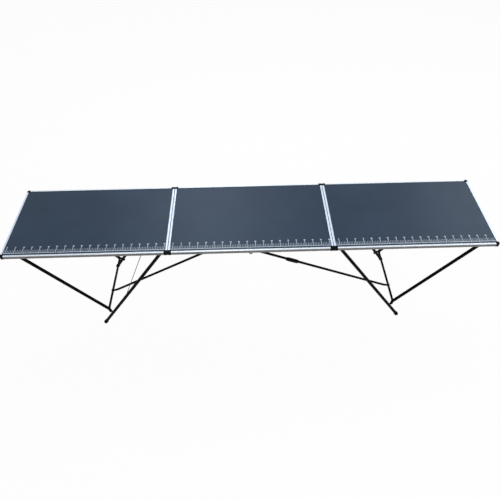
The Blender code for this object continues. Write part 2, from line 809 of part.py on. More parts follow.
def brace_geometry(side_name):
    """A brace's plane, its length to the crossbar, and its shift across that plane."""
    side = SIDES[side_name]
    bar = side_point(crossbar_place, side)
    reach = (bar - cross_rod_place).length
    offset = crossbar_radius + CLEARANCE + brace_radius
    along_bar = math.sqrt(reach**2 - offset**2)
    bar_line = (cross_rod_place - bar).normalized()
    turn = math.asin(offset / reach)
    upward = Vector((side * bar_line.z, 0.0, -side * bar_line.x))
    up_line = bar_line * math.cos(turn) + upward * math.sin(turn)
    up_across = upward * math.cos(turn) - bar_line * math.sin(turn)
    plane = frame_of(cross_rod_place - up_line * along_bar, up_line, up_across)
    return plane, along_bar


def brace_shift(side_name, along_bar, plane):
    """The brace's offset across its plane, which leans evenly from hook to eye."""
    sense = (plane.to_3x3() @ Vector((0.0, 0.0, 1.0))).y
    hook_y = BRACE_HOOK_INSET[side_name] - half_width
    eye_y = BRACE_EYE_INSET[side_name] - half_width

    def shift(along):
        """The offset at a place along the brace."""
        share = min(max(along / along_bar, 0.0), 1.0)
        return sense * (hook_y + (eye_y - hook_y) * share)

    return shift


def strip_taper(start, end, rest_beside, shift):
    """Cross-sections from a round rod to a flat strip, or back where they are reversed."""
    half_thickness = BRACE_STRIP_THICKNESS / 2
    strip_half = BRACE_STRIP_WIDTH / 2
    stations = []
    for share in STRIP_TAPER_SHARES:
        pressed = eased(share)
        along = start + (end - start) * share
        stations.append(
            Station(
                along,
                rest_beside * pressed,
                0.0,
                brace_radius + (half_thickness - brace_radius) * pressed,
                brace_radius + (strip_half - brace_radius) * pressed,
                ROUND_FULLNESS + (STRIP_FULLNESS - ROUND_FULLNESS) * pressed,
                shift(along),
            )
        )
    return stations


def make_brace_rod(side_name, parent):
    """A brace: hooked round the crossbar at its foot, rolled round the cross rod at its head."""
    plane, along_bar = brace_geometry(side_name)
    shift = brace_shift(side_name, along_bar, plane)
    half_thickness = BRACE_STRIP_THICKNESS / 2
    strip_half = BRACE_STRIP_WIDTH / 2
    hook_radius = crossbar_radius + CLEARANCE + half_thickness
    hook_centre = (0.0, brace_radius + CLEARANCE + crossbar_radius)
    hook = wrap_stations(
        hook_centre,
        hook_radius,
        270.0,
        -BRACE_HOOK_WRAP_DEG,
        half_thickness,
        strip_half,
        STRIP_FULLNESS,
        shift,
    )
    stations = [station.turned_round() for station in reversed(hook)]
    strip_end = crossbar_radius * 2
    strip_beside = brace_radius - half_thickness
    stations += strip_taper(strip_end + BRACE_TAPER_LENGTH, strip_end, strip_beside, shift)[::-1]
    eye_radius = cross_rod_radius + CLEARANCE + half_thickness
    taper_end = along_bar - eye_radius - crossbar_radius
    stations += strip_taper(taper_end - BRACE_TAPER_LENGTH, taper_end, -eye_radius, shift)
    stations += wrap_stations(
        (along_bar, 0.0),
        eye_radius,
        270.0,
        BRACE_EYE_WRAP_DEG,
        half_thickness,
        strip_half,
        STRIP_FULLNESS,
        shift,
    )
    rod = formed_tube(side_name + "_brace", plane, stations, ROD_SIDES)
    return finish(rod, black_steel, parent)


def sleeve_outline():
    """The sleeve's section: round over the rod, with a keel for the thumb below."""
    radius = brace_radius + SLEEVE_CLEARANCE + SLEEVE_WALL
    keel = -radius - SLEEVE_KEEL_DEPTH
    neck_deg = math.degrees(math.asin(SLEEVE_KEEL_HALF_WIDTH / radius)) * SLEEVE_NECK_SHARE
    points = arc((0.0, 0.0), radius, -90.0 + neck_deg, 270.0 - neck_deg, FULL_TURN_STEPS)
    tip = SLEEVE_KEEL_HALF_WIDTH
    points += arc((0.0, keel + tip), tip, 180.0, 360.0, HALF_TURN_STEPS)
    return points


def make_sleeve(side_name, parent):
    """The lock sleeve that slides on the brace."""
    plane, along_bar = brace_geometry(side_name)
    shift = brace_shift(side_name, along_bar, plane)
    foot = plane @ Vector((0.0, 0.0, shift(0.0)))
    head = plane @ Vector((along_bar, 0.0, shift(along_bar)))
    line = (head - foot).normalized()
    centre = plane @ Vector((BRACE_LOCK_FROM_HOOK, 0.0, shift(BRACE_LOCK_FROM_HOOK)))
    upward = plane.to_3x3() @ Vector((0.0, 1.0, 0.0))
    across = upward.cross(line)
    matrix = frame_of(centre, across, upward)
    bore = arc((0.0, 0.0), brace_radius + SLEEVE_CLEARANCE, 0.0, 360.0, FULL_TURN_STEPS)[:-1]
    sleeve = outline_solid(side_name + "_lock_sleeve", [sleeve_outline(), bore], SLEEVE_LENGTH, matrix)
    return finish(sleeve, black_plastic, parent)


def stay_geometry(side, end):
    """A stay's plane, from its pivot down its length, and that length to the stud."""
    reach = (stay_stud_place - stay_pivot).length
    offset = STAY_STUD_RADIUS + CLEARANCE + stay_radius
    line = (stay_stud_place - stay_pivot).normalized()
    outward = Vector((-line.z, 0.0, line.x))
    turn = math.asin(offset / reach)
    stay_line = line * math.cos(turn) + outward * math.sin(turn)
    stay_out = outward * math.cos(turn) - line * math.sin(turn)
    origin = side_point(stay_pivot, side, end * stay_spread)
    down = Vector((stay_line.x * side, 0.0, stay_line.z))
    out = Vector((stay_out.x * side, 0.0, stay_out.z))
    return frame_of(origin, down, out), math.sqrt(reach**2 - offset**2)


def make_stay(name, side, end, parent):
    """A wire stay, rolled round its pin at the top and hooked round the leg's stud."""
    plane, length = stay_geometry(side, end)
    eye_radius = STAY_PIN_RADIUS + CLEARANCE + stay_radius
    hook_radius = STAY_STUD_RADIUS + CLEARANCE + stay_radius
    eye = wrap_stations(
        (0.0, 0.0),
        eye_radius,
        90.0,
        STAY_EYE_WRAP_DEG,
        stay_radius,
        stay_radius,
        ROUND_FULLNESS,
        no_shift,
    )
    stations = [station.turned_round() for station in reversed(eye)]
    lead = eye_radius * STAY_LEAD_SHARE
    stations.append(Station(lead, 0.0, 0.0, stay_radius, stay_radius, ROUND_FULLNESS))
    stations += wrap_stations(
        (length, -hook_radius),
        hook_radius,
        90.0,
        -STAY_HOOK_WRAP_DEG,
        stay_radius,
        stay_radius,
        ROUND_FULLNESS,
        no_shift,
    )
    return finish(formed_tube(name, plane, stations, WIRE_SIDES), plated_steel, parent)


def make_stay_lug(name, side, end, parent):
    """The tab under the board with the pin that a stay turns on."""
    centre = side_point(stay_pivot, side, end * stay_spread)
    drop = board_bottom - CLEARANCE - stay_pivot.z
    half = STAY_LUG_WIDTH / 2
    tab_offset = stay_radius + CLEARANCE + STAY_LUG_THICKNESS / 2
    outline = [(half, drop), (-half, drop)]
    outline += arc((0.0, 0.0), half, 180.0, 360.0, HALF_TURN_STEPS)
    origin = centre - Vector((0.0, end * tab_offset, 0.0))
    matrix = frame_of(origin, (1.0, 0.0, 0.0), (0.0, 0.0, 1.0))
    lug = outline_solid(name, [outline], STAY_LUG_THICKNESS, matrix)
    pin_length = STAY_DIAMETER + STAY_LUG_THICKNESS
    pin_place = centre - Vector((0.0, end * STAY_LUG_THICKNESS / 2, 0.0))
    matrix = frame_of(pin_place, (1.0, 0.0, 0.0), (0.0, 0.0, 1.0))
    pin = cylinder_solid(name + "_pin", STAY_PIN_RADIUS, pin_length, matrix, ROD_SIDES)
    return finish(combine(lug, pin, "UNION"), plated_steel, parent)


def make_end(side_name, side):
    """One folding end of the table: panel, hinges, trestle and stay."""
    stay_end = side
    panel_pivot = new_pivot(side_name + "_panel_pivot", (side * hinge_x, 0.0, hinge_z))
    leg_empty = new_pivot(side_name + "_leg_pivot", side_point(leg_pivot, side), panel_pivot)
    strut_empty = new_pivot(side_name + "_strut_pivot", side_point(strut_pivot, side), panel_pivot)
    stay_place = side_point(stay_pivot, side, stay_end * stay_spread)
    stay_empty = new_pivot(side_name + "_stay_pivot", stay_place, panel_pivot)
    make_panel(side_name, side * (panel_length + PANEL_GAP), side, panel_pivot)
    make_hinges(side_name, side, panel_pivot)
    leg_place = side_point(leg_pivot, side)
    strut_place = side_point(strut_pivot, side)
    make_bearings(
        side_name + "_leg_bearing", leg_place, tube_radius, bearing_spread, BEARING_WIDTH, panel_pivot
    )
    make_bearings(
        side_name + "_strut_bearing", strut_place, tube_radius, bearing_spread, BEARING_WIDTH, panel_pivot
    )
    make_leg_frame(side_name, side, leg_empty)
    make_strut_frame(side_name, side, strut_empty)
    make_stay_lug(side_name + "_stay_lug", side, stay_end, panel_pivot)
    make_stay(side_name + "_stay", side, stay_end, stay_empty)


def make_brace(side_name):
    """One brace on the cross rod, with its lock sleeve."""
    plane, along_bar = brace_geometry(side_name)
    shift = brace_shift(side_name, along_bar, plane)
    lock = plane @ Vector((BRACE_LOCK_FROM_HOOK, 0.0, shift(BRACE_LOCK_FROM_HOOK)))
    brace_empty = new_pivot(side_name + "_brace_pivot", cross_rod_place)
    sleeve_empty = new_pivot(side_name + "_sleeve_guide", lock, brace_empty)
    make_brace_rod(side_name, brace_empty)
    make_sleeve(side_name, sleeve_empty)


def make_middle():
    """The middle panel with the cross rod under it."""
    make_panel("middle", 0.0, 0.0, None)
    make_bearings(
        "cross_rod_bearing",
        cross_rod_place,
        cross_rod_radius,
        cross_rod_bearing_spread,
        CROSS_ROD_BEARING_WIDTH,
        None,
    )
    length = cross_rod_bearing_spread * 2 + CROSS_ROD_BEARING_WIDTH
    matrix = frame_of(cross_rod_place, (1.0, 0.0, 0.0), (0.0, 0.0, 1.0))
    finish(cylinder_solid("cross_rod", cross_rod_radius, length, matrix), plated_steel, None)


make_middle()
for table_side_name, table_side in SIDES.items():
    make_end(table_side_name, table_side)
    make_brace(table_side_name)
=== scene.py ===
"""Looks of the wallpaper pasting table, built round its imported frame.

x runs along the table, y from the front to the back and z up. The origin is on the
floor under the middle of the table. All lengths are in metres.
"""
import logging
import math
from dataclasses import dataclass, replace
from enum import Enum
from functools import cached_property
from typing import Callable, Mapping, Optional, Sequence, Union

import bmesh
import bpy
from mathutils import Matrix, Vector


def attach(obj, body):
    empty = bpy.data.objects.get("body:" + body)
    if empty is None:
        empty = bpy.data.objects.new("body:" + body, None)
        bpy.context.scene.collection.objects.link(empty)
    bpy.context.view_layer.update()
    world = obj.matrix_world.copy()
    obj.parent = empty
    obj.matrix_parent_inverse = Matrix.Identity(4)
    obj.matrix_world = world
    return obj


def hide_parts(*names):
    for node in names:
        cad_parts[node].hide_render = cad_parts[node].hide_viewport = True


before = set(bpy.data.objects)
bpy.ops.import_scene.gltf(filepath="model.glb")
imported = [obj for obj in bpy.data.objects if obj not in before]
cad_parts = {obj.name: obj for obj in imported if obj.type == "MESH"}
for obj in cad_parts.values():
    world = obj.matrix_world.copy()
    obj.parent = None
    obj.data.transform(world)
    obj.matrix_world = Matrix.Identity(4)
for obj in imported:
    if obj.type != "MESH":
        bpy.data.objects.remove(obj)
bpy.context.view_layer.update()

log = logging.getLogger("pasting_table")

Colour = tuple[float, float, float]
Place = tuple[float, float, float]
Point = tuple[float, float]
Shift = Callable[[float], float]
Setting = Union[str, float, int, bool, list]
Given = Union["Value", bpy.types.NodeSocket, float, Sequence[float]]

WHITE = (1.0, 1.0, 1.0, 1.0)
EVENLY = (1.0, 1.0, 1.0)
ALONG = Vector((1.0, 0.0, 0.0))
UPWARD = Vector((0.0, 0.0, 1.0))
HEAD_DOWN = Matrix.Rotation(math.radians(90.0), 4, "X")
CREASE_DEG = 32.0
ROUND = 2.0
CUT_PAST = 0.004
MERGE_DISTANCE = 0.000001
BEAD_RIPPLES = 16
BEAD_STEPS = 96
BEAD_SIDES = 10
BEAD_SUNK = 0.0002


class Slot(Enum):
    """The record's material slots."""

    BOARD = "board"
    RAIL = "rail"
    TUBE = "black_tube"
    STEEL = "plated_steel"
    PLASTIC = "black_plastic"


class Grain(Enum):
    """Which way the drawing lines of a rail run: shares of their fine size on x, y and z."""

    ALONG_TABLE = (0.012, 1.0, 1.0)
    ACROSS_TABLE = (1.0, 0.012, 1.0)


class Sign(Enum):
    """One of two opposite sides, as the sign of its axis."""

    @property
    def label(self) -> str:
        """The word for it in the names of pieces and bodies."""
        return self.name.lower()


class Half(Sign):
    """The two folding ends of the table."""

    LEFT = -1
    RIGHT = 1


class Edge(Sign):
    """The two long edges of the table."""

    FRONT = -1
    BACK = 1


class Value:
    """A number that varies over a surface. Python's sums on it add Math nodes."""

    def __init__(self, recipe: "Recipe", socket: bpy.types.NodeSocket) -> None:
        """Wrap a socket of a recipe's node."""
        self.recipe = recipe
        self.socket = socket

    def _sum(self, operation: str, first: Given, second: Given) -> "Value":
        """Add one Math node.

        Args:
            operation: The Math node's operation.
            first: Its first number.
            second: Its second number.

        Returns:
            The node's result.
        """
        return self.recipe.value("ShaderNodeMath", {"operation": operation}, {0: first, 1: second})

    def __add__(self, other: Given) -> "Value":
        """This plus the other."""
        return self._sum("ADD", self, other)

    def __radd__(self, other: Given) -> "Value":
        """The other plus this."""
        return self._sum("ADD", other, self)

    def __sub__(self, other: Given) -> "Value":
        """This less the other."""
        return self._sum("SUBTRACT", self, other)

    def __rsub__(self, other: Given) -> "Value":
        """The other less this."""
        return self._sum("SUBTRACT", other, self)

    def __mul__(self, other: Given) -> "Value":
        """This times the other."""
        return self._sum("MULTIPLY", self, other)

    def __rmul__(self, other: Given) -> "Value":
        """The other times this."""
        return self._sum("MULTIPLY", other, self)

    def or_more(self, other: Given) -> "Value":
        """The larger of this and the other."""
        return self._sum("MAXIMUM", self, other)

    def rises(self, low: float, high: float) -> "Value":
        """A smooth step over a range of this number.

        Args:
            low: Where the result is still 0.
            high: Where the result has reached 1.

        Returns:
            The step, from 0 to 1.
        """
        inputs = {"Value": self, "From Min": low, "From Max": high}
        return self.recipe.value("ShaderNodeMapRange", {"interpolation_type": "SMOOTHSTEP"}, inputs, "Result")


class Recipe:
    """A node tree in the making."""

    def __init__(self, tree: bpy.types.NodeTree) -> None:
        """Start on an empty tree."""
        self.tree = tree
        self.tree.nodes.clear()

    def node(
        self,
        kind: str,
        settings: Optional[Mapping[str, Setting]] = None,
        inputs: Optional[Mapping[Union[str, int], Given]] = None,
    ) -> bpy.types.Node:
        """Add a node.

        Args:
            kind: The node's type.
            settings: Its settings, which are set first.
            inputs: The values or links of its sockets, by name or number.

        Returns:
            The node.
        """
        made = self.tree.nodes.new(kind)
        for name, setting in (settings or {}).items():
            setattr(made, name, setting)
        for name, given in (inputs or {}).items():
            socket = given.socket if isinstance(given, Value) else given
            if isinstance(socket, bpy.types.NodeSocket):
                self.tree.links.new(socket, made.inputs[name])
            else:
                made.inputs[name].default_value = socket
        return made

    def value(
        self,
        kind: str,
        settings: Mapping[str, Setting],
        inputs: Mapping[Union[str, int], Given],
        output: Union[str, int] = 0,
    ) -> Value:
        """Add a node and wrap one of its outputs as a number."""
        return Value(self, self.node(kind, settings, inputs).outputs[output])

    @cached_property
    def coordinates(self) -> bpy.types.Node:
        """The piece's own coordinates, which keep to it in every pose."""
        return self.node("ShaderNodeTexCoord")

    @cached_property
    def upward(self) -> Value:
        """How far a face looks up, from -1 to 1."""
        return self.value("ShaderNodeSeparateXYZ", {}, {0: self.coordinates.outputs["Normal"]}, "Z")

    def place(self, shares: Sequence[float] = EVENLY) -> bpy.types.NodeSocket:
        """The place on the piece, pressed along each axis by a share."""
        inputs = {0: self.coordinates.outputs["Object"], 1: shares}
        return self.node("ShaderNodeVectorMath", {"operation": "MULTIPLY"}, inputs).outputs[0]

    def noise(self, size: float, detail: float = 2.0, shares: Sequence[float] = EVENLY) -> Value:
        """Soft irregular patches.

        Args:
            size: How long a patch is.
            detail: How many finer layers it has.
            shares: How far the pattern is drawn out along each axis.

        Returns:
            A number about 0.5.
        """
        inputs = {"Vector": self.place(shares), "Scale": 1.0 / size, "Detail": detail}
        return self.value("ShaderNodeTexNoise", {}, inputs)

    def cells(self, size: float) -> Value:
        """The distance from the middles of scattered cells of a size."""
        inputs = {"Vector": self.place(), "Scale": 1.0 / size}
        return self.value("ShaderNodeTexVoronoi", {}, inputs, "Distance")

    def weave(self, size: float, shares: Sequence[float]) -> Value:
        """Even lines of a size across the axis whose share isn't zero."""
        inputs = {"Vector": self.place(shares), "Scale": 1.0 / size, "Distortion": 0.4}
        return self.value("ShaderNodeTexWave", {}, inputs, "Fac")

    def worn_edges(self, reach: float, breakup: float, detail: float = 2.0) -> Value:
        """Where the edges of a form have rubbed bare.

        Args:
            reach: How wide the rubbed edge is.
            breakup: How long the patches are that leave gaps in it.
            detail: How many finer layers the patches have.

        Returns:
            A mask from 0 to 1.
        """
        patches = self.noise(breakup, detail)
        softened = self.node("ShaderNodeBevel", {"samples": 6}, {"Radius": reach})
        sharp = self.node("ShaderNodeNewGeometry")
        inputs = {0: softened.outputs[0], 1: sharp.outputs["Normal"]}
        turn = 1.0 - self.value("ShaderNodeVectorMath", {"operation": "DOT_PRODUCT"}, inputs, "Value")
        return turn.rises(0.02, 0.20) * patches.rises(0.40, 0.62)

    def tint(self, share: Given, first: Given, second: Given) -> bpy.types.NodeSocket:
        """A mix of two colours.

        Args:
            share: How much of the second colour there is.
            first: The colour where the share is 0.
            second: The colour where the share is 1.

        Returns:
            The mixed colour.
        """
        ends = [(*end, 1.0) if isinstance(end, tuple) else end for end in (first, second)]
        inputs = {0: share, 6: ends[0], 7: ends[1]}
        return self.node("ShaderNodeMix", {"data_type": "RGBA"}, inputs).outputs[2]

    def mixed(self, share: Given, first: bpy.types.Node, second: bpy.types.Node) -> bpy.types.NodeSocket:
        """A mix of two shaders, by the second one's share."""
        inputs = {0: share, 1: first.outputs[0], 2: second.outputs[0]}
        return self.node("ShaderNodeMixShader", {}, inputs).outputs[0]

    def relief(
        self, height: Value, depth: float, under: Optional[bpy.types.NodeSocket] = None
    ) -> bpy.types.NodeSocket:
        """A fine relief for the shader's normal.

        Args:
            height: The relief's height, from 0 to 1.
            depth: The height that 1 stands for.
            under: A coarser relief that it lies on.

        Returns:
            The normal.
        """
        inputs: dict[Union[str, int], Given] = {"Height": height, "Distance": depth}
        if under:
            inputs["Normal"] = under
        return self.node("ShaderNodeBump", {}, inputs).outputs[0]


@dataclass(frozen=True)
class Finish:
    """A surface finish. Each kind fills in its own recipe."""

    name: str
    slot: Slot
    colour: Colour
    roughness: float

    @cached_property
    def material(self) -> bpy.types.Material:
        """The finish as a material, made once.

        Returns:
            The material.
        """
        made = bpy.data.materials.new(self.name)
        made.use_nodes = True
        recipe = Recipe(made.node_tree)
        shader = recipe.node("ShaderNodeBsdfPrincipled", {}, self.inputs(recipe))
        recipe.node("ShaderNodeOutputMaterial", {}, {"Surface": shader.outputs[0]})
        return made

    def inputs(self, recipe: Recipe) -> dict[str, Given]:
        """The shader's sockets.

        Args:
            recipe: The tree that the nodes go into.

        Returns:
            The value or link of each socket, by name.
        """
        raise NotImplementedError

    def shade(self, share: float) -> Colour:
        """The finish's colour, made lighter or darker by a share."""
        red, green, blue = self.colour
        return (red * share, green * share, blue * share)


@dataclass(frozen=True)
class BoardLacquer(Finish):
    """Slate lacquer on hardboard, wiped clean of paste many times."""

    sheen: float = 0.155
    sheen_tint: Colour = (0.61, 0.77, 1.0)
    patch: float = 0.38
    wipe: float = 0.05
    scratch: float = 0.012
    speckle: float = 0.0016
    grain: float = 0.0007
    grain_depth: float = 0.00003

    def inputs(self, recipe: Recipe) -> dict[str, Given]:
        """The lacquer's patches, wiping marks, specks and fine scratches.

        Args:
            recipe: The tree that the nodes go into.

        Returns:
            The value or link of each socket, by name.
        """
        patches = recipe.noise(self.patch, 3.0)
        wiped = recipe.noise(self.wipe, 4.0, (0.10, 1.0, 1.0))
        specks = recipe.noise(self.speckle, 1.0)
        scratched = recipe.noise(self.scratch, 2.0, (0.02, 1.0, 1.0)).rises(0.70, 0.74)
        body = recipe.tint(patches.rises(0.3, 0.7), self.shade(0.90), self.shade(1.10))
        wet = recipe.tint(wiped.rises(0.45, 0.8) * 0.35, body, self.shade(1.12))
        speckled = recipe.tint(specks.rises(0.55, 0.75) * 0.35, wet, self.shade(1.7))
        colour = recipe.tint(scratched * 0.25, speckled, self.shade(2.4))
        roughness = self.roughness + (wiped - 0.5) * 0.07 + (specks - 0.5) * 0.08 + scratched * 0.1
        grain = recipe.relief(recipe.noise(self.grain, 2.0), self.grain_depth)
        return {
            "Base Color": colour,
            "Roughness": roughness,
            "Normal": recipe.relief(1.0 - scratched, self.grain_depth, grain),
            "Specular IOR Level": self.sheen,
            "Specular Tint": (*self.sheen_tint, 1.0),
        }


@dataclass(frozen=True)
class BareHardboard(Finish):
    """The brown underside of hardboard, with the print of the pressing screen."""

    screen: float = 0.0016
    screen_depth: float = 0.00012
    blotch: float = 0.12
    fibre: float = 0.004

    def inputs(self, recipe: Recipe) -> dict[str, Given]:
        """The hardboard's fibres, blotches and screen marks.

        Args:
            recipe: The tree that the nodes go into.

        Returns:
            The value or link of each socket, by name.
        """
        blotches = recipe.noise(self.blotch, 3.0)
        fibres = recipe.noise(self.fibre, 3.0, (0.35, 1.0, 1.0))
        lines = recipe.weave(self.screen, (1.0, 0.0, 0.0)) * recipe.weave(self.screen, (0.0, 1.0, 0.0))
        body = recipe.tint(blotches.rises(0.35, 0.7), self.shade(0.82), self.shade(1.14))
        colour = recipe.tint(fibres.rises(0.5, 0.78) * 0.6, body, self.shade(1.6))
        return {
            "Base Color": recipe.tint(lines * 0.3, colour, self.shade(0.6)),
            "Roughness": self.roughness + (fibres - 0.5) * 0.2,
            "Normal": recipe.relief(lines + fibres * 0.4, self.screen_depth),
        }


@dataclass(frozen=True)
class RulerInk(Finish):
    """Printed ruler ink, thin in places."""

    board: Colour = (0.05, 0.07, 0.11)
    thin: float = 0.020
    grain: float = 0.0009
    grain_depth: float = 0.00002

    def inputs(self, recipe: Recipe) -> dict[str, Given]:
        """The ink's worn and thin places.

        Args:
            recipe: The tree that the nodes go into.

        Returns:
            The value or link of each socket, by name.
        """
        thin = recipe.noise(self.thin, 4.0).rises(0.50, 0.78)
        grain = recipe.noise(self.grain, 2.0)
        inked = recipe.tint(grain.rises(0.35, 0.7), self.shade(0.92), self.shade(1.06))
        return {
            "Base Color": recipe.tint(thin * 0.45, inked, self.board),
            "Roughness": self.roughness + (grain - 0.5) * 0.2,
            "Normal": recipe.relief(grain, self.grain_depth),
        }


@dataclass(frozen=True)
class DrawnAluminium(Finish):
    """Satin aluminium with drawing lines: bright on the lips, with a painted shade on the webs, whose faces
    don't look up.
    """

    grain: Grain = Grain.ALONG_TABLE
    # Painted shade: the darker colour given to the webs, the faces that don't look up.
    painted_web_shade: Colour = (0.117, 0.107, 0.095)
    line: float = 0.0007
    metallic: float = 0.30
    line_depth: float = 0.00003
    mark: float = 0.035
    edge: float = 0.0009
    breakup: float = 0.006

    def inputs(self, recipe: Recipe) -> dict[str, Given]:
        """The drawing lines, handling marks and bare edges of a rail, and the painted shade on its webs.

        Args:
            recipe: The tree that the nodes go into.

        Returns:
            The value or link of each socket, by name.
        """
        lines = recipe.noise(self.line, 3.0, self.grain.value)
        broad = recipe.noise(self.line * 6, 2.0, self.grain.value)
        marks = recipe.noise(self.mark, 4.0)
        # Painted shade: faces that don't look up take the darker web colour, while the lips keep the
        # aluminium's own colour.
        lip = recipe.upward.rises(0.25, 0.80)
        marked_web_shade = tuple(part * 0.72 for part in self.painted_web_shade)
        shaded_web = recipe.tint(marks.rises(0.45, 0.75), self.painted_web_shade, marked_web_shade)
        bright = recipe.tint(lines.rises(0.3, 0.7), self.shade(0.94), self.shade(1.03))
        face = recipe.tint(lip, shaded_web, bright)
        edges = recipe.worn_edges(self.edge, self.breakup)
        return {
            "Base Color": recipe.tint(edges * 0.35, face, self.shade(1.0)),
            "Roughness": self.roughness + (broad - 0.5) * 0.16 + marks * 0.10 + (1.0 - lip) * 0.12,
            "Metallic": self.metallic * (0.45 + lip * 0.55),
            "Normal": recipe.relief(lines + broad * 0.5, self.line_depth),
        }


@dataclass(frozen=True)
class PowderCoat(Finish):
    """Black powder coat on steel, rubbed through at its edges."""

    bare: Colour = (0.16, 0.155, 0.15)
    peel: float = 0.0022
    peel_depth: float = 0.00002
    edge: float = 0.0010
    breakup: float = 0.005
    dust: float = 0.045
    scuff: float = 0.009
    gloss: float = 0.030

    def inputs(self, recipe: Recipe) -> dict[str, Given]:
        """The coat's orange peel, dust, scuffs and bare edges.

        Args:
            recipe: The tree that the nodes go into.

        Returns:
            The value or link of each socket, by name.
        """
        peel = recipe.noise(self.peel, 1.0)
        dust = recipe.noise(self.dust, 4.0)
        scuffs = recipe.cells(self.scuff).rises(0.62, 0.86) * dust.rises(0.52, 0.66)
        bare = recipe.worn_edges(self.edge, self.breakup, 3.0)
        coat = recipe.tint(dust.rises(0.4, 0.8), self.colour, self.shade(1.9))
        scuffed = recipe.tint(scuffs * 0.5, coat, self.shade(4.0))
        return {
            "Base Color": recipe.tint(bare * 0.6, scuffed, self.bare),
            "Roughness": self.roughness + (dust - 0.5) * 0.22 + scuffs * 0.12,
            "Metallic": bare * 0.6,
            "Normal": recipe.relief(peel, self.peel_depth),
            "Specular IOR Level": self.gloss,
        }


@dataclass(frozen=True)
class MouldedPlastic(Finish):
    """Black moulded plastic with a spark-eroded grain."""

    grain: float = 0.0006
    grain_depth: float = 0.00005
    gloss: float = 0.04
    flow: float = 0.014
    edge: float = 0.0009
    breakup: float = 0.004

    def inputs(self, recipe: Recipe) -> dict[str, Given]:
        """The plastic's grain, flow patches and whitened edges.

        Args:
            recipe: The tree that the nodes go into.

        Returns:
            The value or link of each socket, by name.
        """
        grain = recipe.cells(self.grain)
        flow = recipe.noise(self.flow, 3.0)
        edges = recipe.worn_edges(self.edge, self.breakup)
        body = recipe.tint(flow.rises(0.35, 0.7), self.shade(0.85), self.shade(1.5))
        return {
            "Base Color": recipe.tint(edges * 0.5, body, self.shade(4.5)),
            "Roughness": self.roughness + (flow - 0.5) * 0.2 + edges * 0.1,
            "Normal": recipe.relief(grain, self.grain_depth),
            "Specular IOR Level": self.gloss,
        }


@dataclass(frozen=True)
class ZincPlate(Finish):
    """Bright zinc plate, clouded where it was handled."""

    cloud: Colour = (0.42, 0.40, 0.34)
    clouding: float = 0.018
    spangle: float = 0.0035
    fine: float = 0.0008
    fine_depth: float = 0.00003
    edge: float = 0.0008
    breakup: float = 0.004

    def inputs(self, recipe: Recipe) -> dict[str, Given]:
        """The plate's spangle, clouds and polished edges.

        Args:
            recipe: The tree that the nodes go into.

        Returns:
            The value or link of each socket, by name.
        """
        spangle = recipe.cells(self.spangle)
        clouds = recipe.noise(self.clouding, 4.0)
        fine = recipe.noise(self.fine, 2.0)
        edges = recipe.worn_edges(self.edge, self.breakup)
        body = recipe.tint(spangle.rises(0.2, 0.7), self.shade(0.90), self.shade(1.08))
        clouded = recipe.tint(clouds.rises(0.48, 0.72) * 0.7, body, self.cloud)
        return {
            "Base Color": recipe.tint(edges * 0.6, clouded, self.shade(1.2)),
            "Roughness": self.roughness + (clouds - 0.4) * 0.35 + fine * 0.08 - edges * 0.08,
            "Metallic": 1.0,
            "Normal": recipe.relief(fine + spangle * 0.5, self.fine_depth),
        }


BOARD_FACE = BoardLacquer("slate_lacquer", Slot.BOARD, (0.022, 0.037, 0.062), 0.42)
BOARD_BACK = BareHardboard("bare_hardboard", Slot.BOARD, (0.22, 0.13, 0.068), 0.78)
INK = RulerInk("ruler_ink", Slot.BOARD, (0.55, 0.63, 0.74), 0.50)
LONG_RAIL = DrawnAluminium("aluminium_long_rail", Slot.RAIL, (0.69, 0.76, 0.84), 0.44)
CROSS_RAIL = DrawnAluminium("aluminium_cross_rail", Slot.RAIL, (0.60, 0.69, 0.82), 0.44, Grain.ACROSS_TABLE)
BLACK_COAT = PowderCoat("black_powder_coat", Slot.TUBE, (0.0019, 0.0019, 0.0020), 0.42)
BLACK_PLASTIC = MouldedPlastic("black_moulded_plastic", Slot.PLASTIC, (0.0021, 0.0022, 0.0024), 0.48)
ZINC = ZincPlate("bright_zinc_plate", Slot.STEEL, (0.60, 0.61, 0.60), 0.30)
DARK_WIRE = ZincPlate("dark_spring_wire", Slot.STEEL, (0.030, 0.030, 0.030), 0.38, (0.020, 0.019, 0.018))


def side_point(point: Vector, side: int, y: float = 0.0) -> Vector:
    """A point or direction of the right-hand half, mirrored onto a side of the table."""
    return Vector((point.x * side, y, point.z))


def eased(share: float) -> float:
    """A share that starts and ends level."""
    return share * share * (3 - 2 * share)


def rounded(value: float, fullness: float) -> float:
    """A circle's coordinate, pushed out towards a flat-sided section."""
    return math.copysign(abs(value) ** (2 / fullness), value)


def arc(centre: Point, radius: float, start_deg: float, end_deg: float, steps: int) -> list[Point]:
    """Points along an arc.

    Args:
        centre: The arc's centre.
        radius: Its radius.
        start_deg: The angle of its first point.
        end_deg: The angle of its last point.
        steps: How many steps lie between the two.

    Returns:
        The points, both ends included.
    """
    span_deg = end_deg - start_deg
    turns = [math.radians(start_deg + span_deg * step / steps) for step in range(steps + 1)]
    return [(centre[0] + radius * math.cos(turn), centre[1] + radius * math.sin(turn)) for turn in turns]


def frame_of(origin: Vector, across: Vector, upward: Vector) -> Matrix:
    """A frame from its first two axes.

    Args:
        origin: The frame's origin.
        across: Its first axis.
        upward: Its second axis, square to the first.

    Returns:
        The matrix from that frame to the table's.
    """
    first = across.normalized()
    second = upward.normalized()
    matrix = Matrix((first, second, first.cross(second))).transposed().to_4x4()
    matrix.translation = origin
    return matrix


def across_table(place: Vector) -> Matrix:
    """A frame whose third axis runs from the back of the table to its front."""
    return frame_of(place, ALONG, UPWARD)


def axes(matrix: Matrix) -> list[Vector]:
    """The three axes of a frame."""
    return [column.copy() for column in matrix.to_3x3().col]


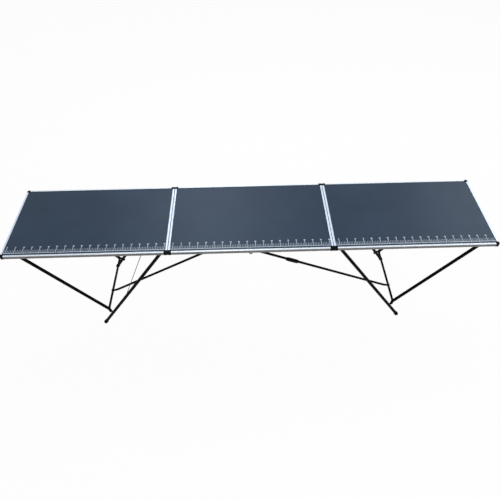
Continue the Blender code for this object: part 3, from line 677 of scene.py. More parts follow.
def tangent(start: Vector, end: Vector, side: int, offset: float) -> tuple[Vector, Vector, float]:
    """The straight line that passes a point at an offset.

    Args:
        start: Where the line starts.
        end: The point that it passes.
        side: Which way it leaves the point, in the plane along the table.
        offset: How far it passes from the point.

    Returns:
        Its direction, the direction square to it, and its length.
    """
    reach = (end - start).length
    line = (end - start).normalized()
    across = Vector((side * line.z, 0.0, -side * line.x))
    turn = math.asin(offset / reach)
    ahead = line * math.cos(turn) + across * math.sin(turn)
    beside = across * math.cos(turn) - line * math.sin(turn)
    return ahead, beside, math.sqrt(reach**2 - offset**2)


def rod(radius: float, half: float) -> list[Point]:
    """The profile of a plain rod with closed ends."""
    return [(0.0, half), (radius, half), (radius, -half), (0.0, -half)]


def level(along: float) -> float:
    """The offset of a tube that stays in its plane."""
    return 0.0


@dataclass(frozen=True)
class Station:
    """One cross-section of a formed tube, at a place and heading in the tube's plane."""

    along: float
    beside: float
    heading_deg: float
    half_in: float
    half_across: float
    fullness: float = ROUND
    shift: float = 0.0

    def ring(self, plane: Matrix, sides: int) -> list[Vector]:
        """The cross-section's points.

        Args:
            plane: The tube's plane.
            sides: How many points go round the section.

        Returns:
            The points, in the table's frame.
        """
        heading = math.radians(self.heading_deg)
        points = []
        for step in range(sides):
            angle = math.tau * (step + 0.5) / sides
            inward = rounded(math.cos(angle), self.fullness) * self.half_in
            across = rounded(math.sin(angle), self.fullness) * self.half_across
            along = self.along - math.sin(heading) * inward
            beside = self.beside + math.cos(heading) * inward
            points.append(plane @ Vector((along, beside, self.shift + across)))
        return points


@dataclass(frozen=True)
class Wrap:
    """A tube's bend round a centre: to the left, or to the right where its turn is negative."""

    centre: Point
    radius: float
    start_deg: float
    turn_deg: float
    half_in: float
    half_across: float
    fullness: float = ROUND
    step_deg: float = 6.0

    def stations(self, shift: Shift = level) -> list[Station]:
        """The bend's cross-sections.

        Args:
            shift: The offset across the plane at a place along the tube.

        Returns:
            The cross-sections, from the bend's start to its end.
        """
        steps = max(2, round(abs(self.turn_deg) / self.step_deg))
        quarter_deg = math.copysign(90.0, self.turn_deg)
        made = []
        for step in range(steps + 1):
            angle_deg = self.start_deg + self.turn_deg * step / steps
            along = self.centre[0] + self.radius * math.cos(math.radians(angle_deg))
            beside = self.centre[1] + self.radius * math.sin(math.radians(angle_deg))
            heading_deg = angle_deg + quarter_deg
            section = (self.half_in, self.half_across, self.fullness)
            made.append(Station(along, beside, heading_deg, *section, shift(along)))
        return made

    def backward(self, shift: Shift = level) -> list[Station]:
        """The bend's cross-sections from its end to its start, headed that way."""
        ahead = reversed(self.stations(shift))
        return [replace(mark, heading_deg=mark.heading_deg + 180.0) for mark in ahead]


@dataclass(frozen=True)
class Press:
    """The taper from a round tube to a pressed flat end."""

    radius: float
    thick: float
    wide: float
    fullness: float
    steps: int = 10

    def stations(self, start: float, end: float, beside: float, shift: Shift = level) -> list[Station]:
        """The taper's cross-sections.

        Args:
            start: Where the tube is still round.
            end: Where it has become flat.
            beside: How far the flat end lies off the tube's axis.
            shift: The offset across the plane at a place along the tube.

        Returns:
            The cross-sections, from the round one to the flat one.
        """
        made = []
        for step in range(self.steps + 1):
            share = step / self.steps
            pressed = eased(share)
            along = start + (end - start) * share
            half_in = self.radius + (self.thick - self.radius) * pressed
            half_across = self.radius + (self.wide - self.radius) * pressed
            fullness = ROUND + (self.fullness - ROUND) * pressed
            made.append(Station(along, beside * pressed, 0.0, half_in, half_across, fullness, shift(along)))
        return made


class Form:
    """A mesh in the making, of one closed shell or several."""

    def __init__(self) -> None:
        """Start with nothing."""
        self.work = bmesh.new()

    def loft(self, rings: Sequence[Sequence[Vector]], endless: bool = False) -> "Form":
        """Add a skin over rings of points.

        Args:
            rings: The rings, each with the same number of points.
            endless: Whether the last ring joins the first. The ends are closed otherwise.

        Returns:
            The form itself.
        """
        made = [[self.work.verts.new(place) for place in ring] for ring in rings]
        after_each = made[1:] + made[:1] if endless else made[1:]
        for lower, upper in zip(made, after_each):
            for index, corner in enumerate(lower):
                after = (index + 1) % len(lower)
                self.work.faces.new((corner, lower[after], upper[after], upper[index]))
        if not endless:
            self.work.faces.new(made[0])
            self.work.faces.new(made[-1])
        return self

    def tube(self, stations: Sequence[Station], plane: Matrix, sides: int) -> "Form":
        """Add a skin over a formed tube's cross-sections.

        Args:
            stations: The cross-sections, from one end to the other.
            plane: The tube's plane.
            sides: How many points go round each.

        Returns:
            The form itself.
        """
        return self.loft([station.ring(plane, sides) for station in stations])

    def turn(self, profile: Sequence[Point], matrix: Matrix, sides: int = 32) -> "Form":
        """Add a turned shell.

        Args:
            profile: Its radius and height at each step.
            matrix: Its frame, whose third axis it turns about.
            sides: How many faces go round it.

        Returns:
            The form itself.
        """
        rings = []
        for radius, height in profile:
            count = sides if radius else 1
            turns = [math.tau * step / sides for step in range(count)]
            flat = [(radius * math.cos(turn), radius * math.sin(turn)) for turn in turns]
            rings.append([self.work.verts.new(matrix @ Vector((*place, height))) for place in flat])
        for lower, upper in zip(rings, rings[1:]):
            for index in range(sides):
                after = (index + 1) % sides
                corners = [lower[index % len(lower)], lower[after % len(lower)]]
                corners += [upper[after % len(upper)], upper[index % len(upper)]]
                unlike = list(dict.fromkeys(corners))
                if len(unlike) > 2:
                    self.work.faces.new(unlike)
        return self

    def bead(self, matrix: Matrix, radius: float, width: float = 0.0045, rise: float = 0.0012) -> "Form":
        """Add a rippled weld bead.

        Args:
            matrix: Its frame, whose third axis it runs round.
            radius: The radius of the tube that it lies on.
            width: How wide it is.
            rise: How far it stands off the tube.

        Returns:
            The form itself.
        """
        rings = []
        for step in range(BEAD_STEPS):
            turn = math.tau * step / BEAD_STEPS
            ripple = 0.80 + 0.20 * math.sin(turn * BEAD_RIPPLES)
            ring = []
            for share in range(BEAD_SIDES):
                angle = math.tau * share / BEAD_SIDES
                out = radius - BEAD_SUNK + rise * ripple * math.cos(angle)
                side = width / 2 * (0.9 + 0.1 * ripple) * math.sin(angle)
                ring.append(matrix @ Vector((out * math.cos(turn), out * math.sin(turn), side)))
            rings.append(ring)
        return self.loft(rings, endless=True)

    def box(
        self, low: Vector, high: Vector, edge: float = 0.0, matrix: Matrix = Matrix.Identity(4)
    ) -> "Form":
        """Add a box.

        Args:
            low: Its lowest corner.
            high: Its highest corner.
            edge: The radius of its edges.
            matrix: The frame that its corners are in.

        Returns:
            The form itself.
        """
        middle = matrix @ Matrix.Translation((low + high) / 2)
        scaled = middle @ Matrix.Diagonal((*(high - low), 1.0))
        made = bmesh.ops.create_cube(self.work, size=1.0, matrix=scaled)
        if edge:
            edges = {line for corner in made["verts"] for line in corner.link_edges}
            bmesh.ops.bevel(self.work, geom=list(edges), offset=edge, segments=2, affect="EDGES")
        return self

    def slab(
        self, loops: Sequence[Sequence[Point]], depth: float, matrix: Matrix, edge: float = 0.0
    ) -> "Form":
        """Add a flat outline with its holes, thickened evenly to both sides.

        Args:
            loops: The outline and its holes.
            depth: How thick the slab is.
            matrix: Its frame, whose third axis it is thickened along.
            edge: The radius of its rounded edges.

        Returns:
            The form itself.
        """
        curve = bpy.data.curves.new("slab", "CURVE")
        curve.dimensions = "2D"
        curve.fill_mode = "BOTH"
        curve.extrude = depth / 2 - edge
        curve.bevel_depth = edge
        curve.bevel_resolution = 2
        curve.offset = -edge
        for loop in loops:
            spline = curve.splines.new("POLY")
            spline.points.add(len(loop) - 1)
            for point, place in zip(spline.points, loop):
                point.co = (*place, 0.0, 1.0)
            spline.use_cyclic_u = True
        return self.stamp(mesh_of(curve), matrix)

    def stamp(self, mesh: bpy.types.Mesh, matrix: Matrix) -> "Form":
        """Add a copy of a mesh, moved by a matrix.

        Args:
            mesh: The mesh, which is kept.
            matrix: Where the copy goes.

        Returns:
            The form itself.
        """
        copy = mesh.copy()
        copy.transform(matrix)
        self.work.from_mesh(copy)
        bpy.data.meshes.remove(copy)
        return self

    def piece(self, name: str, crease_deg: float = CREASE_DEG) -> bpy.types.Object:
        """The finished form as an object.

        Args:
            name: The object's name.
            crease_deg: The least angle between faces that stays a sharp edge.

        Returns:
            The object.
        """
        bmesh.ops.recalc_face_normals(self.work, faces=self.work.faces)
        mesh = bpy.data.meshes.new(name)
        self.work.to_mesh(mesh)
        self.work.free()
        smooth(mesh, crease_deg)
        return new_object(name, mesh)


def smooth(mesh: bpy.types.Mesh, crease_deg: float) -> None:
    """Shade a mesh smooth, but for its sharp edges."""
    mesh.shade_smooth()
    mesh.set_sharp_from_angle(angle=math.radians(crease_deg))


def new_object(name: str, data: bpy.types.ID) -> bpy.types.Object:
    """An object in the scene.

    Args:
        name: The object's name.
        data: The mesh, curve, lamp or camera that it holds.

    Returns:
        The object.
    """
    made = bpy.data.objects.new(name, data)
    bpy.context.scene.collection.objects.link(made)
    return made


def shaped_mesh(thing: bpy.types.Object) -> bpy.types.Mesh:
    """An object's shape, with its curve or its modifiers worked in.

    Args:
        thing: The object, which is kept.

    Returns:
        The shape as a new mesh.
    """
    bpy.context.view_layer.update()
    shaped = thing.evaluated_get(bpy.context.evaluated_depsgraph_get())
    return bpy.data.meshes.new_from_object(shaped)


def mesh_of(curve: bpy.types.Curve) -> bpy.types.Mesh:
    """A curve's filled shape as a clean mesh.

    Args:
        curve: The curve, which is used up.

    Returns:
        The mesh.
    """
    holder = new_object("holder", curve)
    mesh = shaped_mesh(holder)
    bpy.data.objects.remove(holder, do_unlink=True)
    work = bmesh.new()
    work.from_mesh(mesh)
    bmesh.ops.remove_doubles(work, verts=work.verts, dist=MERGE_DISTANCE)
    bmesh.ops.recalc_face_normals(work, faces=work.faces)
    work.to_mesh(mesh)
    work.free()
    mesh.materials.clear()
    return mesh


def cut(piece: bpy.types.Object, *cutters: Form) -> bpy.types.Object:
    """Cut forms out of a piece.

    Args:
        piece: The piece, which keeps its name.
        cutters: The forms, which are used up.

    Returns:
        The piece.
    """
    for cutter in cutters:
        tool = cutter.piece("cutter")
        step = piece.modifiers.new("cut", "BOOLEAN")
        step.operation = "DIFFERENCE"
        step.solver = "EXACT"
        step.object = tool
        mesh = shaped_mesh(piece)
        piece.modifiers.clear()
        piece.data = mesh
        bpy.data.objects.remove(tool, do_unlink=True)
    smooth(piece.data, CREASE_DEG)
    return piece


@dataclass(frozen=True)
class Head:
    """A fastener's head, which stands on its frame's origin along the third axis."""

    radius: float
    height: float
    sides: int

    def rim(self) -> list[Point]:
        """The profile from the head's widest place up."""
        raise NotImplementedError

    def recesses(self) -> list[Form]:
        """What is cut out of the head's top."""
        return []

    @cached_property
    def mesh(self) -> bpy.types.Mesh:
        """The head's shape, made once.

        Returns:
            The mesh, which its copies are stamped from.
        """
        root = -self.height / 4
        profile = [(0.0, root), (self.radius, root), *self.rim(), (0.0, self.height)]
        head = Form().turn(profile, Matrix.Identity(4), self.sides).piece("head")
        cut(head, *self.recesses())
        mesh = head.data
        bpy.data.objects.remove(head, do_unlink=True)
        return mesh


@dataclass(frozen=True)
class Rivet(Head):
    """A domed rivet head."""

    def rim(self) -> list[Point]:
        """The dome."""
        turns = [math.radians(turn) for turn in (0, 18, 36, 54, 72)]
        return [(self.radius * math.cos(turn), self.height * math.sin(turn)) for turn in turns]


@dataclass(frozen=True)
class Screw(Head):
    """A pan head with a cross recess."""

    recess: float = 0.0010
    reach_share: float = 0.58
    half_share: float = 0.13
    shoulder_share: float = 0.45

    def rim(self) -> list[Point]:
        """The rounded shoulder."""
        shoulder = self.height * self.shoulder_share
        return arc((self.radius - shoulder, self.height - shoulder), shoulder, 0.0, 70.0, 5)

    def recesses(self) -> list[Form]:
        """The two bars of the cross.

        Returns:
            The bars, which run past the head's top.
        """
        reach, half = self.radius * self.reach_share, self.radius * self.half_share
        floor, above = self.height - self.recess, self.height * 2
        pairs = ((reach, half), (half, reach))
        return [Form().box(Vector((-x, -y, floor)), Vector((x, y, above))) for x, y in pairs]


RIVET = Rivet(0.0027, 0.0013, 20)
SCREW = Screw(0.0030, 0.0019, 24)


@dataclass(frozen=True)
class Layout:
    """Where the sub-assemblies meet. The numbers are those of the solids.

    Only the two coats are the picture's own: a picture thins dark rods on white, so the
    tubes, braces and crossbars are drawn that much stouter round the solids' axes.
    """

    length: float = 3.0
    half_width: float = 0.3
    height: float = 0.78
    gap: float = 0.0016
    clearance: float = 0.0003
    board: float = 0.005
    rail_height: float = 0.022
    rail_wall: float = 0.0014
    cap_proud: float = 0.0006
    hinge_drop: float = 0.010
    tube_radius: float = 0.010
    tube_drop: float = 0.011
    leg_inset: float = 0.038
    leg_top_inset: float = 0.040
    foot_reach: float = 0.517
    stud_up_leg: float = 0.1255
    strut_inside_leg: float = 0.026
    strut_top_inset: float = 0.050
    strut_tail: float = 0.016
    crossbar_radius: float = 0.007
    crossbar_above_stud: float = 0.034
    rod_coat: float = 0.001
    tube_coat: float = 0.0005
    cross_rod_radius: float = 0.006
    cross_rod_drop: float = 0.016
    stay_top_inset: float = 0.150
    stay_drop: float = 0.009
    stay_stud_down_leg: float = 0.513

    @cached_property
    def coated_tube(self) -> float:
        """The radius of the bent tubes over their coat."""
        return self.tube_radius + self.tube_coat

    @cached_property
    def panel(self) -> float:
        """The length of one panel."""
        return (self.length - self.gap * 2) / 3

    @cached_property
    def inner_end(self) -> float:
        """Where the right-hand panel starts."""
        return self.panel / 2 + self.gap

    @cached_property
    def rail_bottom(self) -> float:
        """The height of the rails' lower edges."""
        return self.height - self.rail_height

    @cached_property
    def board_top(self) -> float:
        """The height of the boards' faces."""
        return self.height - self.rail_wall - self.clearance

    @cached_property
    def board_bottom(self) -> float:
        """The height of the boards' undersides."""
        return self.board_top - self.board

    @cached_property
    def hinge(self) -> Vector:
        """The axis of the right-hand panel hinges."""
        return Vector(((self.panel + self.gap) / 2, 0.0, self.rail_bottom - self.hinge_drop))

    @cached_property
    def leg_spread(self) -> float:
        """How far each leg is from the middle of the table."""
        return self.half_width - self.leg_inset

    @cached_property
    def strut_spread(self) -> float:
        """How far each strut is from the middle of the table."""
        return self.leg_spread - self.strut_inside_leg

    @cached_property
    def leg_pivot(self) -> Vector:
        """The axis of the right-hand legs."""
        return Vector((self.inner_end + self.leg_top_inset, 0.0, self.rail_bottom - self.tube_drop))

    @cached_property
    def leg_foot(self) -> Vector:
        """Where the right-hand legs' axes meet the floor."""
        return Vector((self.leg_pivot.x + self.foot_reach, 0.0, 0.0))

    @cached_property
    def leg_line(self) -> Vector:
        """The direction down the right-hand legs."""
        return (self.leg_foot - self.leg_pivot).normalized()

    @cached_property
    def strut_pivot(self) -> Vector:
        """The axis of the right-hand struts."""
        return Vector((self.length / 2 - self.strut_top_inset, 0.0, self.leg_pivot.z))

    @cached_property
    def stud(self) -> Vector:
        """The studs that the right-hand struts sit on."""
        return self.leg_foot - self.leg_line * self.stud_up_leg

    @cached_property
    def strut_line(self) -> Vector:
        """The direction down the right-hand struts."""
        return (self.stud - self.strut_pivot).normalized()

    @cached_property
    def crossbar(self) -> Vector:
        """The axis of the right-hand crossbar."""
        return self.stud - self.strut_line * self.crossbar_above_stud

    @cached_property
    def cross_rod(self) -> Vector:
        """The axis of the rod that the braces turn on."""
        return Vector((0.0, 0.0, self.rail_bottom - self.cross_rod_drop))

    @cached_property
    def stay_pivot(self) -> Vector:
        """The pin that the right-hand stay turns on."""
        return Vector((self.inner_end + self.stay_top_inset, 0.0, self.board_bottom - self.stay_drop))

    @cached_property
    def stay_stud(self) -> Vector:
        """The stud that the right-hand stay hooks onto."""
        return self.leg_pivot + self.leg_line * self.stay_stud_down_leg

    def limb_plane(self, half: Half, edge: Edge, pivot: Vector, line: Vector, spread: float) -> Matrix:
        """The plane of a leg or strut.

        Args:
            half: Its end of the table.
            edge: Its edge of the table.
            pivot: Its axis at the right-hand end.
            line: The direction down it at the right-hand end.
            spread: How far it is from the middle of the table.

        Returns:
            A frame down the limb, outward across the table and square to both.
        """
        origin = side_point(pivot, half.value, edge.value * spread)
        return frame_of(origin, side_point(line, half.value), Vector((0.0, edge.value, 0.0)))


LAYOUT = Layout()


@dataclass
class SubAssembly:
    """A group of pieces on one body."""

    body: str

    def fit(self, piece: bpy.types.Object, finish: Finish, *nodes: str) -> bpy.types.Object:
        """Dress a piece and hang it on the body.

        Args:
            piece: The finished mesh, in place.
            finish: Its surface finish.
            nodes: The solids that it stands for.

        Returns:
            The piece.
        """
        piece.data.materials.append(finish.material)
        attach(piece, self.body)
        if nodes:
            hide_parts(*nodes)
        log.info("%s: %s, %d faces", self.body, piece.name, len(piece.data.polygons))
        return piece


@dataclass
class Panel(SubAssembly):
    """One board in its four rails, with corner caps and a printed ruler."""

    label: str
    centre_x: float
    outer: int
    first_mark: float
    marks: int
    cap: float = 0.0215
    cap_round: float = 0.009
    cap_inner_round: float = 0.0018
    cap_edge: float = 0.0011
    cap_height: float = 0.0226
    rail_round: float = 0.0025
    lip: float = 0.012
    lip_round: float = 0.0006
    shelf: float = 0.0095
    foot: float = 0.011
    painted_web_shade_grooves: tuple[float, ...] = (0.0052, 0.0150)
    lip_grooves: tuple[float, ...] = (0.0046, 0.0080)
    groove: float = 0.0011
    groove_depth: float = 0.00045
    crease_deg: float = 24.0

    def build(self) -> None:
        """Make and dress every piece of the panel."""
        self.add_board()
        for edge in Edge:
            self.add_long_rail(edge)
        for side in (-1, 1):
            self.add_end_rail(side)
        Ruler(self.body, self.label, self.centre_x, self.first_mark, self.marks).build()

    def add_board(self) -> None:
        """The board, lacquered on its face and bare below."""
        inset = LAYOUT.cap_proud + LAYOUT.rail_wall + LAYOUT.clearance
        half = LAYOUT.panel / 2 - inset
        reach = LAYOUT.half_width - inset
        low = Vector((self.centre_x - half, -reach, LAYOUT.board_bottom))
        high = Vector((self.centre_x + half, reach, LAYOUT.board_top))
        board = Form().box(low, high, 0.0006).piece(f"{self.label}_board_sheet")
        self.fit(board, BOARD_FACE, f"{self.label}_board")
        board.data.materials.append(BOARD_BACK.material)
        for face in board.data.polygons:
            face.material_index = 1 if face.normal.z < 0.5 else 0

    def section(self) -> list[Point]:
        """The rail's section, inward from its outer face and up from its lower edge.

        Returns:
            The section's points.
        """
        top = LAYOUT.rail_height
        wall = LAYOUT.rail_wall
        slot_top = top - wall
        slot_bottom = slot_top - LAYOUT.board - LAYOUT.clearance * 2
        turn, tip = self.rail_round, self.lip_round
        slope, depth = self.groove * 0.28, self.groove_depth
        points = arc((turn, turn), turn, 270.0, 180.0, 6)
        for low in self.painted_web_shade_grooves:
            high = low + self.groove
            points += [(0.0, low), (depth, low + slope), (depth, high - slope), (0.0, high)]
        points += arc((turn, top - turn), turn, 180.0, 90.0, 6)
        for near in self.lip_grooves:
            far = near + self.groove
            points += [(near, top), (near + slope, top - depth), (far - slope, top - depth), (far, top)]
        points += arc((self.lip - tip, top - tip), tip, 90.0, 0.0, 3)
        points += [(self.lip, slot_top), (wall, slot_top), (wall, slot_bottom)]
        points += [(self.shelf, slot_bottom), (self.shelf, slot_bottom - wall)]
        points += [(wall, slot_bottom - wall), (wall, wall)]
        points += arc((self.foot - tip, wall - tip), tip, 90.0, -90.0, 5)[:3]
        points += arc((self.foot - tip, tip), tip, 0.0, -90.0, 3)
        return points

    def add_rail(self, node: str, origin: Vector, inward: Vector, length: float, finish: Finish) -> None:
        """One rail.

        Args:
            node: The solid that it stands for.
            origin: The middle of its outer lower edge.
            inward: The way from there to the panel's middle.
            length: Its length.
            finish: Its surface finish.
        """
        form = Form().slab([self.section()], length, frame_of(origin, inward, UPWARD))
        self.fit(form.piece(node + "_section", self.crease_deg), finish, node)

    def add_long_rail(self, edge: Edge) -> None:
        """The rail along one long edge.

        Args:
            edge: Which side of the table it is on.
        """
        length = LAYOUT.panel - (self.cap + LAYOUT.clearance) * 2
        outer = edge.value * (LAYOUT.half_width - LAYOUT.cap_proud)
        origin = Vector((self.centre_x, outer, LAYOUT.rail_bottom))
        inward = Vector((0.0, -edge.value, 0.0))
        self.add_rail(f"{self.label}_{edge.label}_rail", origin, inward, length, LONG_RAIL)

    def add_end_rail(self, side: int) -> None:
        """The rail across one end, with its two corner caps.

        Args:
            side: Which end of the panel it is at.
        """
        place = Half(side).label
        if self.outer:
            place = "outer" if side == self.outer else "inner"
        node = f"{self.label}_{place}_end_rail"
        length = (LAYOUT.half_width - self.cap - LAYOUT.clearance) * 2
        outer = self.centre_x + side * (LAYOUT.panel / 2 - LAYOUT.cap_proud)
        origin = Vector((outer, 0.0, LAYOUT.rail_bottom))
        self.add_rail(node, origin, Vector((-side, 0.0, 0.0)), length, CROSS_RAIL)
        for edge in Edge:
            self.add_corner_cap(node, side, edge)

    def add_corner_cap(self, node: str, side: int, edge: Edge) -> None:
        """A moulded cap over one corner, slotted for the board.

        Args:
            node: The solid of the end rail that carries it.
            side: The end of the panel.
            edge: The edge of the table.
        """
        corner = Vector((self.centre_x + side * LAYOUT.panel / 2, edge.value * LAYOUT.half_width))
        inward = Vector((-side, -edge.value))
        tip_round = self.cap_round if side == self.outer else self.cap_inner_round
        outline = []
        for along, across, start_deg in ((0, 0, 180.0), (1, 0, 270.0), (1, 1, 0.0), (0, 1, 90.0)):
            radius = self.cap_inner_round if along or across else tip_round
            toward = (1 - along * 2, 1 - across * 2)
            centre = (self.cap * along + toward[0] * radius, self.cap * across + toward[1] * radius)
            steps = 8 if radius == self.cap_round else 4
            outline += arc(centre, radius, start_deg, start_deg + 90.0, steps)
        placed = [(corner.x + inward.x * point[0], corner.y + inward.y * point[1]) for point in outline]
        if side * edge.value < 0:
            placed.reverse()
        middle = Matrix.Translation((0.0, 0.0, LAYOUT.height - self.cap_height / 2))
        name = f"{node}_{edge.label}_corner_cap"
        cap = Form().slab([placed], self.cap_height, middle, self.cap_edge).piece(name)
        near = corner + inward * (LAYOUT.cap_proud + LAYOUT.rail_wall)
        far = corner + inward * (self.cap + CUT_PAST)
        low = Vector((min(near.x, far.x), min(near.y, far.y), LAYOUT.board_bottom - LAYOUT.clearance))
        high = Vector((max(near.x, far.x), max(near.y, far.y), LAYOUT.board_top + LAYOUT.clearance))
        self.fit(cut(cap, Form().box(low, high)), BLACK_PLASTIC, node)


@dataclass
class Ruler(SubAssembly):
    """The ruler printed along a panel's front edge."""

    label: str
    centre_x: float
    first_mark: float
    marks: int
    base_y: float = -0.2692
    base_width: float = 0.0030
    minor: float = 0.010
    minor_length: float = 0.023
    minor_width: float = 0.0014
    major: float = 0.050
    major_length: float = 0.041
    major_width: float = 0.0024
    step_number: int = 5
    number_height: float = 0.0085
    number_gap: float = 0.0012
    ink: float = 0.00006
    end_inset: float = 0.0155
    digit_share: float = 0.70
    swell_share: float = 0.035

    def build(self) -> None:
        """Make and dress the marks and the numbers."""
        marks = Form()
        low_x = self.centre_x - LAYOUT.panel / 2 + self.end_inset
        high_x = self.centre_x + LAYOUT.panel / 2 - self.end_inset
        self.stroke(marks, low_x, high_x, self.base_y - self.base_width, self.base_y)
        first = math.ceil((low_x - self.first_mark) / self.minor)
        last = math.floor((high_x - self.first_mark) / self.minor)
        per_major = round(self.major / self.minor)
        for count in range(first, last + 1):
            is_major = count % per_major == 0 and 0 <= count < self.marks * per_major
            length = self.major_length if is_major else self.minor_length
            half = (self.major_width if is_major else self.minor_width) / 2
            x = self.first_mark + count * self.minor
            self.stroke(marks, x - half, x + half, self.base_y, self.base_y + length)
        self.fit(marks.piece(f"{self.label}_ruler_marks"), INK)
        numbers = Form()
        for count in range(self.marks):
            self.number(numbers, count)
        self.fit(numbers.piece(f"{self.label}_ruler_numbers"), INK)

    def stroke(self, form: Form, low_x: float, high_x: float, low_y: float, high_y: float) -> None:
        """Add one straight stroke of ink.

        Args:
            form: What it is added to.
            low_x: Its left end.
            high_x: Its right end.
            low_y: Its front end.
            high_y: Its back end.
        """
        low = Vector((low_x, low_y, LAYOUT.board_top - self.ink))
        form.box(low, Vector((high_x, high_y, LAYOUT.board_top + self.ink)))

    def number(self, form: Form, count: int) -> None:
        """Add the number over one of the long marks.

        Args:
            form: What it is added to.
            count: The mark's place in the row, from 0.
        """
        words = bpy.data.curves.new("number", "FONT")
        words.body = str(count * self.step_number)
        words.align_x = "CENTER"
        words.size = self.number_height / self.digit_share
        words.extrude = self.ink
        words.resolution_u = 3
        words.offset = self.number_height * self.swell_share
        x = self.first_mark + count * self.major
        y = self.base_y + self.major_length + self.number_gap
        form.stamp(mesh_of(words), Matrix.Translation((x, y, LAYOUT.board_top)))


@dataclass
class Hinge(SubAssembly):
    """A strap hinge under a joint line. Its body is the folding panel's."""

    half: Half
    edge: Edge
    inset: float = 0.095
    width: float = 0.072
    knuckle: float = 0.024
    reach: float = 0.025
    plate: float = 0.0018
    barrel: float = 0.0045
    pin: float = 0.0022
    pin_head: float = 0.0040
    pin_head_length: float = 0.0016
    rivet_out: float = 0.0088
    rivet_pitch: float = 0.026
    head_rim: float = 0.0006
    head_round: float = 0.0008
    tip: float = 0.001
    sides: int = 28

    def build(self) -> None:
        """Make and dress the two leaves and the pin."""
        place = side_point(LAYOUT.hinge, self.half.value, self.edge.value * (LAYOUT.half_width - self.inset))
        matrix = across_table(place)
        name = f"{self.half.label}_{self.edge.label}_hinge"
        middle = self.knuckle / 2 + LAYOUT.clearance / 2
        inner_node = name + "_inner_leaf"
        ends = [(-self.width, LAYOUT.clearance - middle), (middle - LAYOUT.clearance, self.width)]
        outer = self.leaf(matrix, self.half.value, name + "_outer_plate", ends)
        inner = self.leaf(matrix, -self.half.value, name + "_inner_plate", [(-middle, middle)])
        self.fit(outer, ZINC, name + "_outer_leaf")
        fixed = SubAssembly("middle")
        fixed.fit(inner, ZINC, inner_node)
        base = self.width / 2 + LAYOUT.clearance
        top, head = base + self.pin_head_length, self.pin_head
        profile = [(0.0, top), (head - self.head_round, top), (head, top - self.head_rim)]
        profile += [(head, base), (self.pin, base)]
        profile += [(radius, -height) for radius, height in reversed(profile)]
        pin = Form().turn(profile, matrix, self.sides).piece(name + "_pin")
        fixed.fit(pin, ZINC, inner_node)

    def leaf(self, matrix: Matrix, toward: int, name: str, notches: Sequence[Point]) -> bpy.types.Object:
        """One leaf with its knuckles and rivets.

        Args:
            matrix: The pin's frame.
            toward: Which way the leaf lies from the pin.
            name: The piece's name.
            notches: The stretches along the pin that the other leaf's knuckles take.

        Returns:
            The leaf.
        """
        top = LAYOUT.hinge_drop - LAYOUT.clearance
        skirt = self.barrel - self.plate
        skirt_deg = math.degrees(math.acos(skirt / self.barrel))
        outline = [(self.reach - self.tip * 2, top), (skirt, top)]
        outline += arc((0.0, 0.0), self.barrel, skirt_deg, 360.0, 28)
        outline += [(self.barrel, top - self.plate), (self.reach - self.tip * 2, top - self.plate)]
        outline += arc((self.reach - self.tip, top - self.plate / 2), self.plate / 2, -90.0, 90.0, 4)
        mirrored = [(point[0] * toward, point[1]) for point in outline]
        leaf = Form().slab([mirrored], self.width, matrix).piece(name)
        reach = self.barrel + LAYOUT.clearance * 3
        for low, high in notches:
            turned = matrix @ Matrix.Translation((0.0, 0.0, (low + high) / 2))
            size = Vector((reach, reach, (high - low) / 2))
            cut(leaf, Form().box(-size, size, 0.0, turned))
        bore = rod(self.pin + LAYOUT.clearance, self.width / 2 + CUT_PAST)
        cut(leaf, Form().turn(bore, matrix, self.sides))
        rivets = Form().stamp(leaf.data, Matrix.Identity(4))
        for step in (-1, 0, 1):
            out = Vector((toward * self.rivet_out, top - self.plate, step * self.rivet_pitch))
            rivets.stamp(RIVET.mesh, matrix @ Matrix.Translation(out) @ HEAD_DOWN)
        bpy.data.objects.remove(leaf, do_unlink=True)
        return rivets.piece(name)


@dataclass
class Bearing(SubAssembly):
    """A pair of moulded bearing blocks, screwed up to a board."""

    node: str
    axis: Vector
    radius: float
    spread: float
    width: float
    wall: float = 0.005
    foot: float = 0.025
    foot_height: float = 0.004
    fillet: float = 0.004
    edge: float = 0.0006
    screw_share: float = 0.26
    side_turn: float = 0.4
    row_turn: float = 0.7

    def build(self) -> None:
        """Make and dress the blocks with their screws."""
        for edge in Edge:
            node = f"{self.node}_{edge.label}"
            matrix = across_table(Vector((self.axis.x, edge.value * self.spread, self.axis.z)))
            bore = arc((0.0, 0.0), self.radius + LAYOUT.clearance, 0.0, 360.0, 40)[:-1]
            form = Form().slab([self.outline(), bore], self.width, matrix, self.edge)
            self.fit(form.piece(node + "_block"), BLACK_PLASTIC, node)
            screws = Form()
            bottom = self.drop - self.foot_height
            middle = (self.radius + self.wall + self.fillet + self.foot) / 2
            for side in (-1, 1):
                for row in (-1, 1):
                    out = Vector((side * middle, bottom, row * self.width * self.screw_share))
                    turned = Matrix.Rotation(self.side_turn * side + self.row_turn * row, 4, "Z")
                    screws.stamp(SCREW.mesh, matrix @ Matrix.Translation(out) @ HEAD_DOWN @ turned)
            self.fit(screws.piece(node + "_screws"), ZINC)

    @cached_property
    def drop(self) -> float:
        """How far the axis is below the board."""
        return LAYOUT.board_bottom - LAYOUT.clearance - self.axis.z

    def outline(self) -> list[Point]:
        """The block's section about its axis.

        Returns:
            The section's points.
        """
        outer = self.radius + LAYOUT.clearance + self.wall
        low = self.drop - self.foot_height
        curl = self.fillet
        points = [(self.foot, self.drop), (-self.foot, self.drop), (-self.foot, low)]
        points += arc((-outer - curl, low - curl), curl, 90.0, 0.0, 6)
        points += arc((0.0, 0.0), outer, 180.0, 360.0, 28)
        points += arc((outer + curl, low - curl), curl, 180.0, 90.0, 6)
        return points + [(self.foot, low)]


